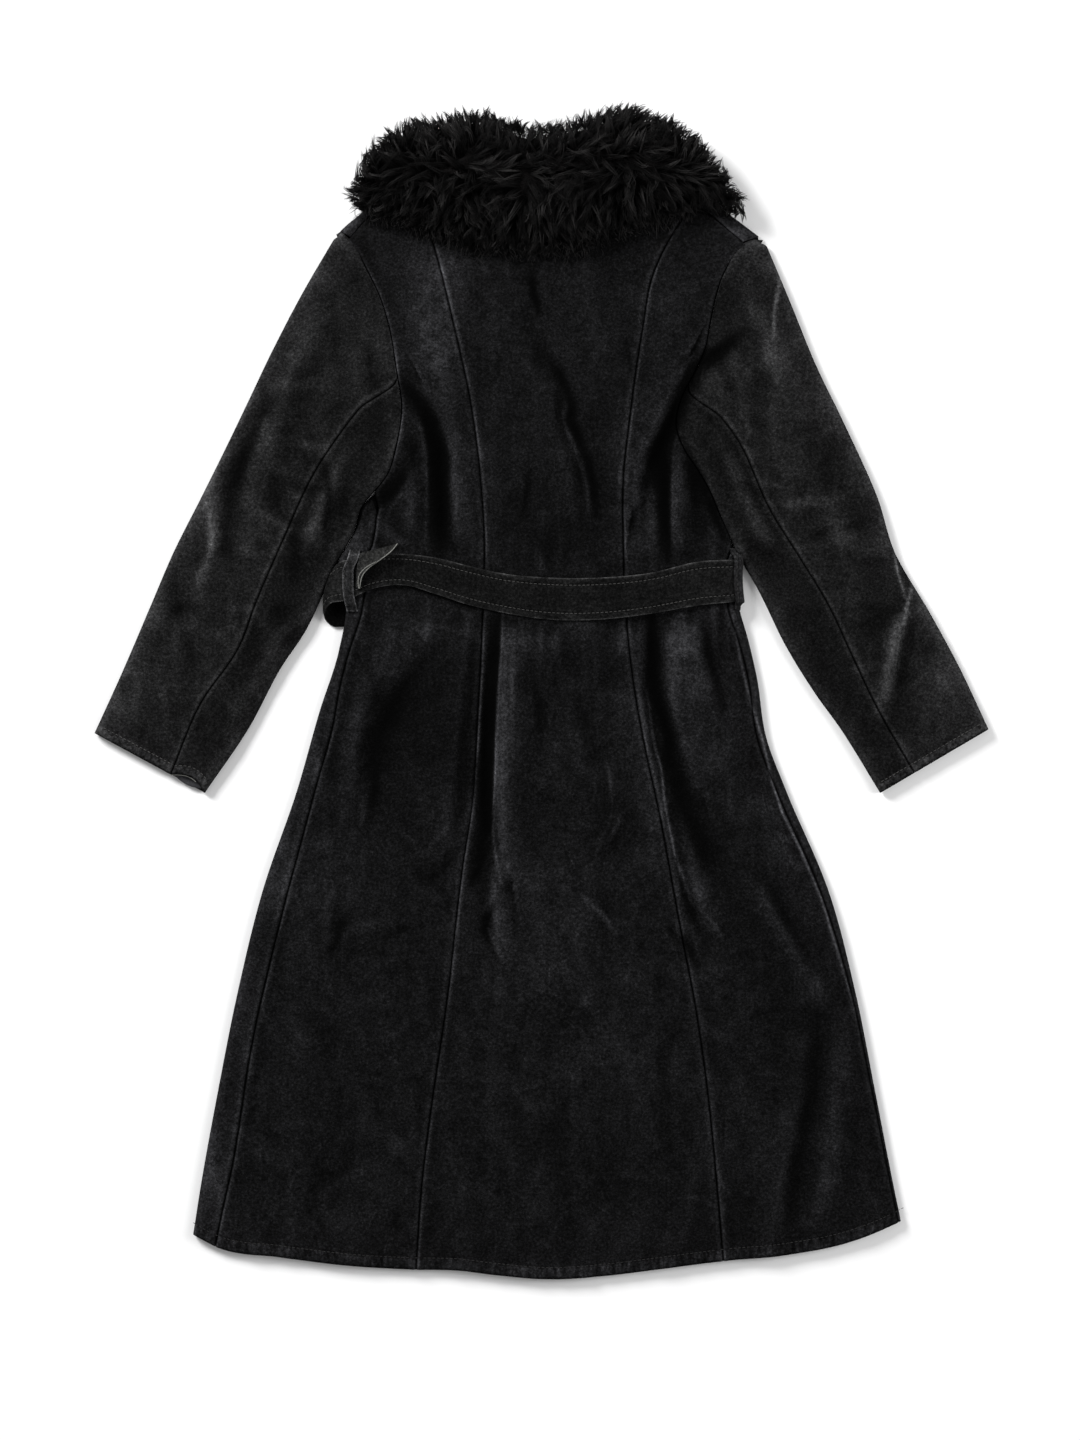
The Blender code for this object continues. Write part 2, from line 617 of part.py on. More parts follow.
def sleeve_top(x, y, station):
    """The outer face of a sleeve's upper layer, level with the back at the armhole."""
    own = SLEEVE_HEIGHT + relief(x, y)
    return body_top(x, y) + (own - body_top(x, y)) * ease(0.0, 0.12, station)


def sleeve_piece(name, table, outline, part, out, gape):
    """The upper sleeve round the outer edge, or the under sleeve round the inner one."""
    upper = part == "upper"
    grid, ways = [], []
    for station in np.linspace(0, 1, SLEEVE_STATIONS):
        section = sleeve_section(table, station)
        outer, inner, seam = section
        across = (inner - outer) / np.hypot(*(inner - outer))
        half = SEAM_GAP / 2 / np.hypot(*(inner - outer))
        start = seam - half if upper else seam + half
        end = UNDER_SEAM - half if upper else UNDER_SEAM + half
        down_sleeve = np.array([across[1], -across[0]]) * -out
        gap = ARMHOLE_GAP + (SIDE_GAP - ARMHOLE_GAP) * ease(0, 0.06, station)
        row, row_ways = [], []
        for share, level, angle in sleeve_path(section, start, end, upper):
            x, y = sleeve_point(outline, section, share, station)
            x = out * max(out * x, out * float(smooth(outline, y)) + gap)
            if level > 0.5 and not upper and gape:
                bow = np.sin(np.pi * np.clip((share - seam) / (1 - seam), 0, 1))
                x, y = (x, y) - down_sleeve * gape * bow * ease(0.86, 1.0, station)
            row.append((x, y, level * sleeve_top(x, y, station)))
            sideways = across * np.cos(angle) * (-1 if upper else 1)
            row_ways.append((*sideways, np.sin(angle)))
        grid.append(row)
        ways.append(row_ways)
    return sheet(name, np.array(grid), np.array(ways), WALL, SUEDE_SLEEVE)


def build_sleeves():
    for part in ("upper", "under"):
        sleeve_piece(f"sleeve_{part}_left", SLEEVE_LEFT, OUTLINE_LEFT, part, -1, CUFF_GAPE)
        sleeve_piece(f"sleeve_{part}_right", SLEEVE_RIGHT, OUTLINE_RIGHT, part, 1, 0)


def build_cuff_lining():
    """The lining's edge in the left cuff's mouth, on the sleeve's lower layer."""
    grid = []
    for station in (0.93, 0.955, 0.98, 0.997):
        section = sleeve_section(SLEEVE_LEFT, station)
        shares = np.linspace(0.70, 0.93, 5)
        points = [sleeve_point(OUTLINE_LEFT, section, share, station) for share in shares]
        grid.append([(*point, WALL + SEAM_GAP + LINING_WALL) for point in points])
    level_sheet("cuff_lining_left", np.array(grid), LINING_WALL, LINING)


def fall_section(x, low, high, size):
    """The collar's upper side at x, from the fall's edge over the pile to the roll, as (x, y, z)."""
    section = []
    for share, height in COLLAR_PILE:
        over = max(height - COLLAR_END, 0) * (0.25 + 0.75 * size)
        section.append((x, low + (high - low) * share, min(height, COLLAR_END) + over))
    return section


def build_collar():
    """The fur collar: a fall over the back, a roll, and its stand on the floor, one rounded pile."""
    first, last = COLLAR_TOP[0][0], COLLAR_TOP[-1][0]
    swing = np.sin(np.linspace(-np.pi / 2, np.pi / 2, COLLAR_STATIONS))
    ring = []
    for x in (first + last) / 2 + swing * (last - first) / 2:
        low = float(smooth(COLLAR_FALL, x))
        high = float(smooth(COLLAR_TOP, x))
        shoulder = shoulder_fold(x) if abs(x) > NECK_POINT else 0
        body_edge = float(np.maximum(smooth(BACK_TOP, x), shoulder)) + COLLAR_STEP
        step = min(max(body_edge, low + 2), high - 6)
        size = (1 - abs(2 * (x - first) / (last - first) - 1) ** 5) ** 0.5
        section = fall_section(x, low, high, size)
        section += [(x, high, 9), (x, high - 3, 0), (x, (step + high) / 2, 0), (x, step, 0)]
        for share in (0, 0.5, 0.94):
            y = step + (low - step) * share
            coat = max(float(body_top(np.array(x), np.array(near))) for near in (y, y - 6))
            section.append((x, y, coat + COLLAR_CLEAR if body_edge > low + 2 else 1.5))
        ring.append(section)
    grid = np.array(ring)
    rows, columns, _ = grid.shape
    faces = [face[::-1] for face in grid_faces(rows, columns, closed=True)]
    faces.append(tuple(range(columns)))
    faces.append(tuple(reversed(range((rows - 1) * columns, rows * columns))))
    return new_mesh("collar", grid.reshape(-1, 3), faces, FUR, 1.0)


def belt_level(x):
    """The belt's outer face over the back: just clear of the cloth under it."""
    x = np.atleast_1d(x)
    heights = np.linspace(0, 1, 7)[:, None]
    y = smooth(BELT_BOTTOM, x) * heights + smooth(BELT_TOP, x) * (1 - heights)
    cloth = REST_HEIGHT + LAP_BACK_RISE + BELT_RISE + relief(np.broadcast_to(x, y.shape), y).max(axis=0)
    return float(cloth[0]) + BELT_CLEAR + BELT_WALL


def belt_rows(ends, bulge=0.0):
    """One row of points across the belt, between its upper and its lower edge."""
    upper, lower = np.array(ends, float)
    out = np.array((-4 * bulge, 0, 0))
    return [upper + (lower - upper) * share + out * share * (1 - share) for share in (0, 0.25, 0.5, 0.75, 1)]


def under_rows(start, end):
    """The belt's part under the fronts."""
    for x in np.linspace(start, end, 6):
        middle = np.interp(x, *np.transpose(BELT_UNDER))
        yield belt_rows(((x, middle + BELT_WIDTH / 2, 0), (x, middle - BELT_WIDTH / 2, 0)))


def loose_turn():
    """The belt's turn at the left, which leans out lower down."""
    top = belt_level(BELT_LEFT)
    middle = np.interp(BELT_LEFT, *np.transpose(BELT_UNDER))
    for angle in np.radians(TURN_STEPS):
        lean = (1 + np.sin(angle)) / 2
        ends = []
        for (x, reach, y_on_top), y_under in ((TURN_UPPER, BELT_WIDTH / 2), (TURN_LOWER, -BELT_WIDTH / 2)):
            y = (middle + y_under) * (1 - lean) + y_on_top * lean
            ends.append((x - reach * np.cos(angle), y, top * lean))
        yield belt_rows(ends, TURN_BULGE * np.cos(angle))


def tight_turn():
    """The belt's turn at the right, close round the coat's edge."""
    top = belt_level(BELT_RIGHT - 12)
    for angle in np.radians(TURN_STEPS[::-1]):
        ends = []
        for table in (BELT_TOP, BELT_BOTTOM):
            y = float(smooth(table, BELT_RIGHT))
            edge = float(smooth(OUTLINE_RIGHT, y)) + BELT_WALL + 1.6
            ends.append((edge - 9.0 * (1 - np.cos(angle)), y, top * (1 + np.sin(angle)) / 2))
        yield belt_rows(ends)


def build_belt():
    """The belt, from under the fronts' middle round the left side, over the back and under again."""
    rows = [*under_rows(-BELT_ENDS, -196), *loose_turn()]
    for x in np.linspace(BELT_LEFT + 2, BELT_RIGHT - 12, 26):
        level = belt_level(x)
        rows.append(belt_rows(((x, smooth(BELT_TOP, x), level), (x, smooth(BELT_BOTTOM, x), level))))
    rows += [*tight_turn(), *under_rows(188, BELT_ENDS)]
    grid = np.array(rows)
    facing = np.sign(grid_normals(grid)[len(grid) // 2, 2, 2])
    sheet("belt", grid, grid_normals(grid) * facing, BELT_WALL, SUEDE_SLEEVE)


def build_turned_edge():
    """The belt's upper edge, turned over to its paler back beside the left loop."""
    base = belt_level(-180.0) + 0.4 + LOOP_WALL
    grid = []
    for near_x, near_y, far_x, far_y, stand in TURNED_EDGE:
        line = []
        for share in (0, 0.35, 0.7, 1):
            height = base + stand * share**1.5
            line.append((near_x + (far_x - near_x) * share, near_y + (far_y - near_y) * share, height))
        grid.append(line)
    level_sheet("belt_turned_edge", np.array(grid), LOOP_WALL, REVERSE)


def build_left_loop():
    """The left loop, flat on the belt with its ends down on the coat."""
    edge_x, width, upper_y, length, lean = LOOP_LEFT
    grid = []
    for along, up in LOOP_ARCH:
        y = upper_y - length * along
        row = []
        for x in np.linspace(edge_x, edge_x + width, 4) + lean * along:
            cloth = float(body_top(np.array(x + 5), np.array(y))) + LOOP_ENDS_CLEAR + LOOP_WALL
            over = belt_level(x) + LOOP_CLEAR + LOOP_WALL
            row.append((x, y, cloth + (over - cloth) * up))
        grid.append(row)
    grid = np.array(grid)
    sheet("belt_loop_left", grid, upward(grid_normals(grid)), LOOP_WALL, SUEDE_SLEEVE)


def build_right_loop():
    """The right loop, round the belt's turn at the coat's edge."""
    upper_y, length = LOOP_RIGHT
    half_height = belt_level(195.5) / 2
    grid = []
    for along, up in LOOP_ARCH:
        y = upper_y - length * along
        middle = float(smooth(OUTLINE_RIGHT, y)) - 8.0
        out = 9.4 + 5.8 * up
        rise = half_height + 0.1 + 3.0 * up
        row = []
        for angle in np.radians((88, 60, 32, 4)):
            row.append((middle + out * np.cos(angle), y, half_height + rise * np.sin(angle)))
        grid.append(row)
    grid = np.array(grid)
    sheet("belt_loop_right", grid, upward(grid_normals(grid)), LOOP_WALL, SUEDE_SLEEVE)


def main():
    for obj in list(bpy.data.objects):
        bpy.data.objects.remove(obj, do_unlink=True)
    build_back()
    front_panel("front_left", -1, OUTLINE_LEFT, STRIP_LEFT, True)
    front_panel("front_right", 1, OUTLINE_RIGHT, STRIP_RIGHT, False)
    build_sleeves()
    build_cuff_lining()
    build_collar()
    build_belt()
    build_turned_edge()
    build_left_loop()
    build_right_loop()


main()
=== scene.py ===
"""The looks of a long suede-look coat with a deep fur collar and its belt, laid flat on its front.

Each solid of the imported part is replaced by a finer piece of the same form: the same tables and rules, with
smaller creases, seams, hems and stitches added, and the fur as joined locks. The tables are in millimetres,
as the part's are: x runs across (-x is the left of the back), y runs up the coat and z is the height above
the floor.
"""

import math

import bpy
import numpy as np
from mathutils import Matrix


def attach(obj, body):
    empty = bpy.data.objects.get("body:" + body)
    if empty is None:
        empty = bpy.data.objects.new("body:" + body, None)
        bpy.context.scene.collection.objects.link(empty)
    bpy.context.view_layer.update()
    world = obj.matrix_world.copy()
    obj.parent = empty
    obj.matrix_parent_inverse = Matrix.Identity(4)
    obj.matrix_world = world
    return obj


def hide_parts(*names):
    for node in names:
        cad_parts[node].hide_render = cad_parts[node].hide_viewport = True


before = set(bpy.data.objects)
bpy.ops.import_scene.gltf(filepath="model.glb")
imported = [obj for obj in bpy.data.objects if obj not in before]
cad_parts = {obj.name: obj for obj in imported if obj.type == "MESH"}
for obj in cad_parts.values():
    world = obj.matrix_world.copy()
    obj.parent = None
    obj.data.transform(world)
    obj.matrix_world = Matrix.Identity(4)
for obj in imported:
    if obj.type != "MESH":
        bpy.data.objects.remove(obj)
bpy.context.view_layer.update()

METRES = 0.001
LEAST_FILL = 0.32  # a cut with less than this share of its width times its length is a bent corner

# The part's driving dimensions, with walls a little thinner than its solids'
WALL = 2.4  # the coat's cloth
BELT_WALL = 2.4
LOOP_WALL = 1.6
LINING_WALL = 0.8
SEAM_GAP = 0.3  # between two sewn pieces
SHOULDER_GAP = 1.0  # wider near the neck, under the collar
NECK_GAP = 4.5
SIDE_GAP = 2.0  # between the body and a sleeve that lies against it
REST_HEIGHT = 9.6  # outer face of the back over one front
SLEEVE_HEIGHT = 10.6
LAP_HALF = 40.0  # the fronts lap this far past the middle
LAP_RISE = 3.7
LAP_BACK_RISE = 1.7
BELT_RISE = 3.1  # what lies over the belt's under part is lifted this much
BELT_PRESS = 0.92  # the share of the body's relief that lies flat under the belt
FOLD_TOP = 6.0  # reach of a folded edge's rounding, on its upper and its lower side
FOLD_LOW = 5.5
NOT_FOLDED = 80.0  # added to the inset where an edge is cut and sewn
BODY_LENGTH = 1088.0  # the length that the body's rows are stepped along
INNER_DARKENING = -0.6  # a wall's hidden side is this much darker
SIDES = {-1: "left", 1: "right"}  # by the sign of x, which is each side's way out

# The body's outline and seams, each (height y, place x) from the hem up
OUTLINE_LEFT = (
    (-620, -375), (-566, -366), (-521, -359), (-416, -340), (-311, -319), (-206, -293), (-101, -257),
    (-17, -233), (46, -213), (99, -206), (122, -211), (141, -213), (156, -204), (172, -196.5), (198, -188),
    (214, -175), (229, -163), (256, -154), (282, -149), (304, -147.5), (337, -152.5), (393, -162.5),
    (421, -171.8), (440, -181), (457, -189.5), (463, -192.5), (469, -197.5), (474, -202.5), (479, -208),
    (481.5, -212), (484, -216),
)
OUTLINE_RIGHT = (
    (-620, 390), (-550, 377), (-521, 371), (-416, 350.5), (-311, 329.5), (-206, 301.5), (-101, 257),
    (-48, 237), (20, 226), (60, 216.5), (90, 208), (125, 204.5), (140, 205), (156, 201), (188, 188),
    (216, 176), (232, 167), (256, 151), (280, 142.5), (309, 147), (337, 161), (361, 172), (390, 178),
    (418, 184), (441, 191.5), (457, 201), (464, 207), (470.5, 215), (474, 224), (478, 233),
)
# How far the side seam lies inside the outline, by height: the front's cloth shows in between
STRIP_LEFT = (
    (-620, 25), (-566, 26), (-494, 30), (-384, 27), (-186, 26), (-97, 19), (-38, 19), (37, 11), (88, 17),
    (152, 27), (164, 23.6), (183, 19.5), (197, 17.2), (206, 8.0), (213, 0.5), (220, 0.0), (500, 0.0),
)
STRIP_RIGHT = (
    (-620, 3), (-400, 3.5), (-300, 5), (-200, 9), (-110, 10), (40, 10), (98, 12), (140, 10), (156, 1.0),
    (165, 0.0), (500, 0.0),
)
PRINCESS_LEFT = (
    (-620, -133), (-499, -124), (-444, -117), (-320, -99), (-176, -82), (-117, -73), (-23, -67), (78, -62),
    (164, -60), (225, -64), (304, -74), (379, -90), (417, -99), (477, -115), (530, -134),
)
PRINCESS_RIGHT = (
    (-620, 193), (-523, 185), (-404, 173), (-335, 163), (-240, 145), (-112, 121), (-58, 109), (32, 94),
    (81, 89), (158, 86), (225, 86), (298, 94), (382, 106), (443, 118), (468, 129), (492, 143), (520, 160),
)
# Edges that run across, each (place x, height y)
HEM = (
    (-400, -551), (-367, -568), (-341, -581.5), (-275, -592), (-212, -600), (-132, -605), (-86, -606),
    (-54, -610), (9, -615), (72, -611), (135, -603), (191, -596), (261, -589), (324, -576), (376, -555),
    (400, -543),
)
BACK_TOP = (
    (-230, 452), (-203, 477), (-182, 500), (-150, 514), (-105, 531), (-60, 526), (0, 523), (60, 526),
    (105, 532), (156, 514), (177, 502.5), (192, 490.5), (213, 473), (235, 454),
)
NECK_POINT = 105.0  # the collar seam meets the shoulder seam this far from the middle
SHOULDER_FOLD_LEFT = (
    (-230, 470), (-215, 483.5), (-205, 493), (-194, 502), (-182, 511.5), (-150, 524), (-105, 540),
)
SHOULDER_FOLD_RIGHT = ((105, 540), (156, 530), (177, 519), (204, 499.5), (231, 479), (250, 464))
SHOULDER_TIPS = {-1: (215.5, 204.5), 1: (232.5, 215.5)}  # how far out the shoulder's fold and its seam reach
SEAM_END_LEFT = 200.0  # above these heights the side seams lie under the sleeves
SEAM_END_RIGHT = 160.0
V_POINT = 400.0  # where the fronts' necklines meet the lap

# Sleeves, a row for each section from armhole to cuff: the outer edge's x and y, the inner edge's x and y,
# and the back seam's share of the way across
SLEEVE_LEFT = (
    (-215, 484, -149, 282, 0.740),
    (-250, 424, -153, 250, 0.667),
    (-283, 361, -172, 212, 0.615),
    (-313, 298, -196, 172, 0.592),
    (-354, 214, -216, 135, 0.610),
    (-386, 151, -246, 70, 0.625),
    (-413, 88, -276, 24, 0.675),
    (-440, 25, -309, -38, 0.610),
    (-470, -41, -354, -104, 0.690),
)
SLEEVE_RIGHT = (
    (234, 478, 144, 283, 0.770),
    (262, 411, 150, 252, 0.705),
    (289, 345, 173, 215, 0.668),
    (318, 285, 201, 156, 0.680),
    (352, 210, 229, 107, 0.652),
    (372, 148, 256, 52, 0.595),
    (408, 86, 286, 3, 0.640),
    (440, 27, 318, -42, 0.690),
    (470, -37, 356, -104, 0.685),
)
ARMHOLE_REACH = 0.16  # the share of the sleeve over which its sections straighten from the armhole's curve
UNDER_SEAM = 0.86  # the hidden seam's share of the way across the under side
CUFF_GAPE = 7.5  # the left cuff's upper layer stands back this much
SLEEVE_TUCK = {-1: (4.8, 0.014), 1: (5.2, 0.03)}  # a sleeve's top is drawn up: how far, and its share across

# The collar's outline, each (place x, height y), and its pile, (share from the fall's edge to the roll, z)
COLLAR_TOP = (
    (-202, 527), (-191, 555), (-154, 592), (-107, 603), (-65, 609), (-12, 594), (51, 605), (88, 617),
    (124, 605), (166, 580), (198, 540), (210, 516),
)
COLLAR_FALL = (
    (-202, 512), (-195, 503), (-171, 492), (-140, 483), (-110, 474), (-78, 463), (-17, 458), (45, 462),
    (75, 475), (107, 486), (137, 496), (167, 503), (210, 498),
)
COLLAR_PILE = ((0.0, 9), (0.03, 14), (0.12, 25), (0.30, 38), (0.55, 50), (0.75, 48), (0.90, 36), (0.98, 20))
COLLAR_END = 15.0  # the pile is this high at the collar's two ends
COLLAR_ENDS = (COLLAR_TOP[0][0], COLLAR_TOP[-1][0])  # its two ends across

# The belt's edges over the back, each (place x, height y), and the middle of its part under the fronts
BELT_TOP = (
    (-206, 140), (-178, 146), (-149, 147), (-112, 143), (-75, 134), (-44, 127), (9, 122), (61, 122),
    (114, 127), (166, 139), (208, 141),
)
BELT_BOTTOM = (
    (-206, 97), (-178, 110), (-143, 114), (-112, 105), (-75, 93), (-44, 86), (9, 78), (61, 78), (114, 84),
    (166, 93), (208, 97),
)
BELT_UNDER = ((-230, 90), (-80, 104), (80, 104), (230, 119))
BELT_WIDTH = 44.0
BELT_CLEAR = 0.7  # between the belt and the highest cloth under it
BELT_ENDS = 6.0  # the belt's two ends lie this far from the middle, under the fronts
BELT_LEFT = -206.0  # where the belt turns under, loose at the left and tight at the right
BELT_RIGHT = 207.5
TURN_ANGLES = (-80, 68)  # degrees round each turn, from the floor up
TURN_UPPER = (-201.5, 18.0, 141.0)  # the loose turn's upper edge: x, its reach, y on top
TURN_LOWER = (-214.0, 15.0, 97.0)
TURN_BULGE = 4.5

# A loop, as (share along it, share of the way up from the coat to over the belt)
LOOP_ARCH = (
    (0, 0), (0.07, 0.25), (0.13, 0.9), (0.25, 1), (0.5, 1), (0.75, 1), (0.87, 0.9), (0.93, 0.25), (1, 0),
)
LOOP_LEFT = (-204.5, 11.5, 151.5, 65.0, -5.0)  # x of one edge, width, upper y, length, lean of the lower end
# How far the left loop bows sideways, by share along it
LOOP_BOW = ((0, 3.0), (0.15, 1.5), (0.3, -2.0), (0.5, -1.7), (0.7, -0.3), (0.85, 2.2), (1, 5.2))
LOOP_FOOT_STITCH = 6.5  # the stitched line across a loop lies this far above its lower end
LOOP_RIGHT = (153.0, 65.0)  # upper y, length
LOOP_CLEAR = 1.0  # between a loop and the belt
LOOP_ENDS_CLEAR = 1.3  # between a loop's ends and the coat

# The belt's turned corner, a row from its point down: the loop's side x and y, the raw edge's x, y and height
TURNED_EDGE = (
    (-190.0, 147.5, -151, 157.5, 7),
    (-191.5, 141, -157.5, 149.5, 9),
    (-193.0, 135, -169, 140.5, 9),
    (-193.8, 129, -180.5, 132.5, 7),
    (-194.2, 121, -188, 123.5, 5),
    (-194.6, 111, -191, 110.5, 3),
)

# Folds, each a line from its upper to its lower end, its height, and its width towards -x and towards +x
FOLDS = (
    # upper back
    (((-122, 322), (-104, 288), (-91, 250), (-88, 165)), 11, 9, 30),
    (((-152, 285), (-141, 245), (-137, 200), (-139, 165)), 6, 14, 10),
    (((152, 350), (136, 318), (119, 285), (104, 250), (96, 200)), 11, 35, 9),
    (((146, 255), (143, 222), (142, 180), (150, 150)), 6, 8, 14),
    (((10, 330), (12, 290), (30, 250), (38, 200)), 4, 22, 8),
    (((-15, 440), (-20, 390), (-30, 320)), 2.5, 40, 40),
    # left skirt
    (((-80, 75), (-88, 0), (-96, -80), (-102, -160)), 6, 32, 10),
    (((-158, 55), (-188, 0), (-200, -60), (-206, -120)), 5, 14, 12),
    (((-230, -160), (-250, -260), (-262, -380), (-268, -560)), 3, 30, 30),
    # the deep pleat and what runs on from it
    (((-32, 77), (-38, 17), (-41, -58), (-42, -107), (-40, -150), (-33, -188)), 12, 9, 32),
    (((-44, -168), (-50, -225), (-38, -265)), 5, 8, 16),
    (((-60, -300), (-75, -420), (-80, -600)), 3, 30, 30),
    # right skirt
    (((96, 78), (100, 0), (108, -60), (122, -110), (142, -190)), 6, 26, 9),
    (((136, 76), (140, -5), (153, -55), (168, -100)), 8, 10, 30),
    (((150, -120), (160, -190), (176, -240)), 5, 9, 12),
    (((222, -200), (262, -262), (294, -318)), 5, 16, 10),
    (((272, -345), (264, -430), (250, -505), (240, -590)), 4, 26, 12),
    (((314, -370), (308, -440), (298, -510), (290, -570)), 4, 12, 18),
    (((80, -330), (90, -450), (96, -600)), 3, 34, 34),
    (((82, -122), (60, -164)), 3, 7, 7),
    # left sleeve
    (((-232, 400), (-262, 340), (-285, 270), (-300, 210)), 6, 20, 14),
    (((-205, 262), (-232, 190), (-252, 130)), 6, 12, 12),
    (((-330, 210), (-352, 130), (-384, 50)), 5, 16, 18),
    (((-262, 80), (-290, 30), (-325, -30)), 4, 12, 12),
    # right sleeve
    (((225, 410), (246, 350), (262, 300)), 5, 16, 20),
    (((190, 262), (214, 205), (243, 140)), 6, 12, 12),
    (((384, 98), (371, 56), (360, -12)), 7, 12, 9),
    (((300, 210), (322, 140), (330, 90)), 5, 16, 14),
)

# Small creases, as FOLDS: ridges have a height above 0 and troughs below
CREASES = (
    # upper back
    (((26, 318), (29, 303), (25, 292), (29, 276), (42, 256), (48, 225), (52, 198)), 3.4, 5, 9),
    (((18, 312), (20, 290), (26, 262), (38, 232), (42, 204)), -2.6, 8, 6),
    (((-11, 437), (-8, 420), (-4, 404)), -1.8, 7, 7),
    (((-14, 231), (-20, 212), (-19, 192)), 1.6, 5, 6),
    (((0, 168), (6, 150), (7, 142)), 1.4, 5, 5),
    (((-119, 336), (-112, 300), (-103, 262), (-101, 200), (-103, 160)), -3.2, 8, 8),
    (((-128, 300), (-124, 262), (-122, 220)), 1.5, 6, 6),
    (((-170, 176), (-150, 160), (-140, 148)), 1.8, 5, 6),
    (((-182, 168), (-168, 156), (-158, 148)), -1.5, 5, 5),
    (((148, 262), (138, 284), (137, 300)), -1.6, 6, 6),
    (((166, 352), (150, 330), (136, 300), (122, 262)), -2.8, 7, 7),
    (((108, 240), (107, 200), (110, 160)), -2.0, 6, 6),
    (((-62, 392), (-40, 350), (-34, 310)), 0.9, 16, 16),
    (((64, 420), (58, 372), (66, 330)), 0.8, 14, 18),
    # left skirt
    (((-102, 66), (-142, 12), (-171, -47), (-181, -107)), -2.2, 12, 10),
    (((-211, -205), (-215, -230), (-216, -251)), -1.6, 6, 6),
    (((-150, -40), (-128, -84), (-120, -130)), 1.2, 9, 9),
    (((-74, -118), (-88, -150), (-94, -196)), 1.4, 8, 8),
    (((-230, -262), (-196, -246), (-150, -236)), 1.0, 8, 6),
    (((-170, -258), (-140, -246), (-118, -244)), -0.9, 5, 5),
    (((-142, -410), (-150, -470), (-149, -530)), 0.9, 14, 14),
    # centre skirt
    (((-50, 70), (-56, 10), (-57, -60), (-57, -140)), -3.4, 6, 7),
    (((-28, 66), (-30, 20), (-31, -30)), 1.6, 4, 6),
    (((0, 74), (-3, 44), (-2, 10)), 1.2, 6, 8),
    (((24, 74), (25, 50), (30, 16)), -1.1, 6, 6),
    (((60, 74), (56, 40), (58, 0)), 1.2, 6, 7),
    (((84, -124), (76, -146), (61, -164)), 1.7, 5, 5),
    (((44, -214), (58, -228), (76, -246)), 1.1, 5, 5),
    (((-14, -200), (-2, -230), (0, -262)), 0.9, 12, 12),
    (((-26, -210), (-10, -216), (10, -214)), -0.7, 5, 5),
    (((-52, -262), (-52, -300), (-56, -340)), -1.4, 7, 7),
    (((-36, -400), (-14, -430), (14, -452)), 0.8, 12, 10),
    (((50, -470), (66, -500), (70, -540)), 0.8, 12, 12),
    # right skirt
    (((114, 70), (113, 0), (122, -50), (134, -92)), -2.6, 6, 6),
    (((150, -206), (162, -240), (170, -262)), -2.4, 5, 5),
    (((132, -240), (146, -262), (152, -284)), -1.8, 5, 5),
    (((190, -60), (196, -110), (212, -150)), 1.2, 10, 12),
    (((234, -100), (246, -150), (266, -200)), 1.0, 8, 10),
    (((186, 20), (196, -10), (198, -44)), 1.3, 9, 9),
    (((214, -330), (206, -380), (196, -440)), 0.9, 16, 14),
    (((160, -330), (176, -352), (196, -362)), 0.9, 7, 6),
    # left sleeve
    (((-348, 232), (-356, 206), (-356, 180)), 2.2, 9, 9),
    (((-300, 300), (-318, 276), (-338, 262)), -1.4, 8, 8),
    (((-236, 330), (-258, 322), (-286, 330)), 1.3, 7, 8),
    (((-212, 262), (-240, 258), (-266, 268)), 1.2, 6, 7),
    (((-218, 214), (-246, 214), (-276, 226)), -1.3, 6, 6),
    (((-250, 170), (-272, 176), (-304, 196)), 1.3, 6, 7),
    (((-254, 118), (-278, 132), (-300, 160)), -1.2, 6, 6),
    (((-282, 62), (-300, 82), (-330, 104)), 1.1, 7, 7),
    (((-372, 120), (-384, 84), (-402, 48)), -1.3, 9, 9),
    (((-186, 372), (-178, 330), (-170, 300)), -1.6, 8, 8),
    # right sleeve
    (((372, 154), (378, 128), (382, 100)), -3.0, 6, 7),
    (((388, 120), (389, 106), (386, 95)), -2.4, 4, 4),
    (((386, 95), (377, 74), (371, 53), (364, 24), (361, -2)), 1.35, 5.5, 6),
    (((250, 202), (282, 200), (314, 206)), 1.3, 7, 6),
    (((264, 158), (296, 168), (336, 178)), -1.3, 6, 6),
    (((206, 232), (228, 222), (262, 218)), 1.2, 6, 6),
    (((276, 118), (304, 122), (346, 134)), 1.2, 6, 7),
    (((306, 60), (330, 72), (352, 80)), -1.1, 6, 6),
    (((196, 300), (214, 286), (240, 280)), -1.3, 7, 7),
    (((182, 360), (196, 330), (204, 306)), -1.6, 8, 8),
    (((326, 22), (350, 30), (372, 26)), 1.0, 6, 6),
)

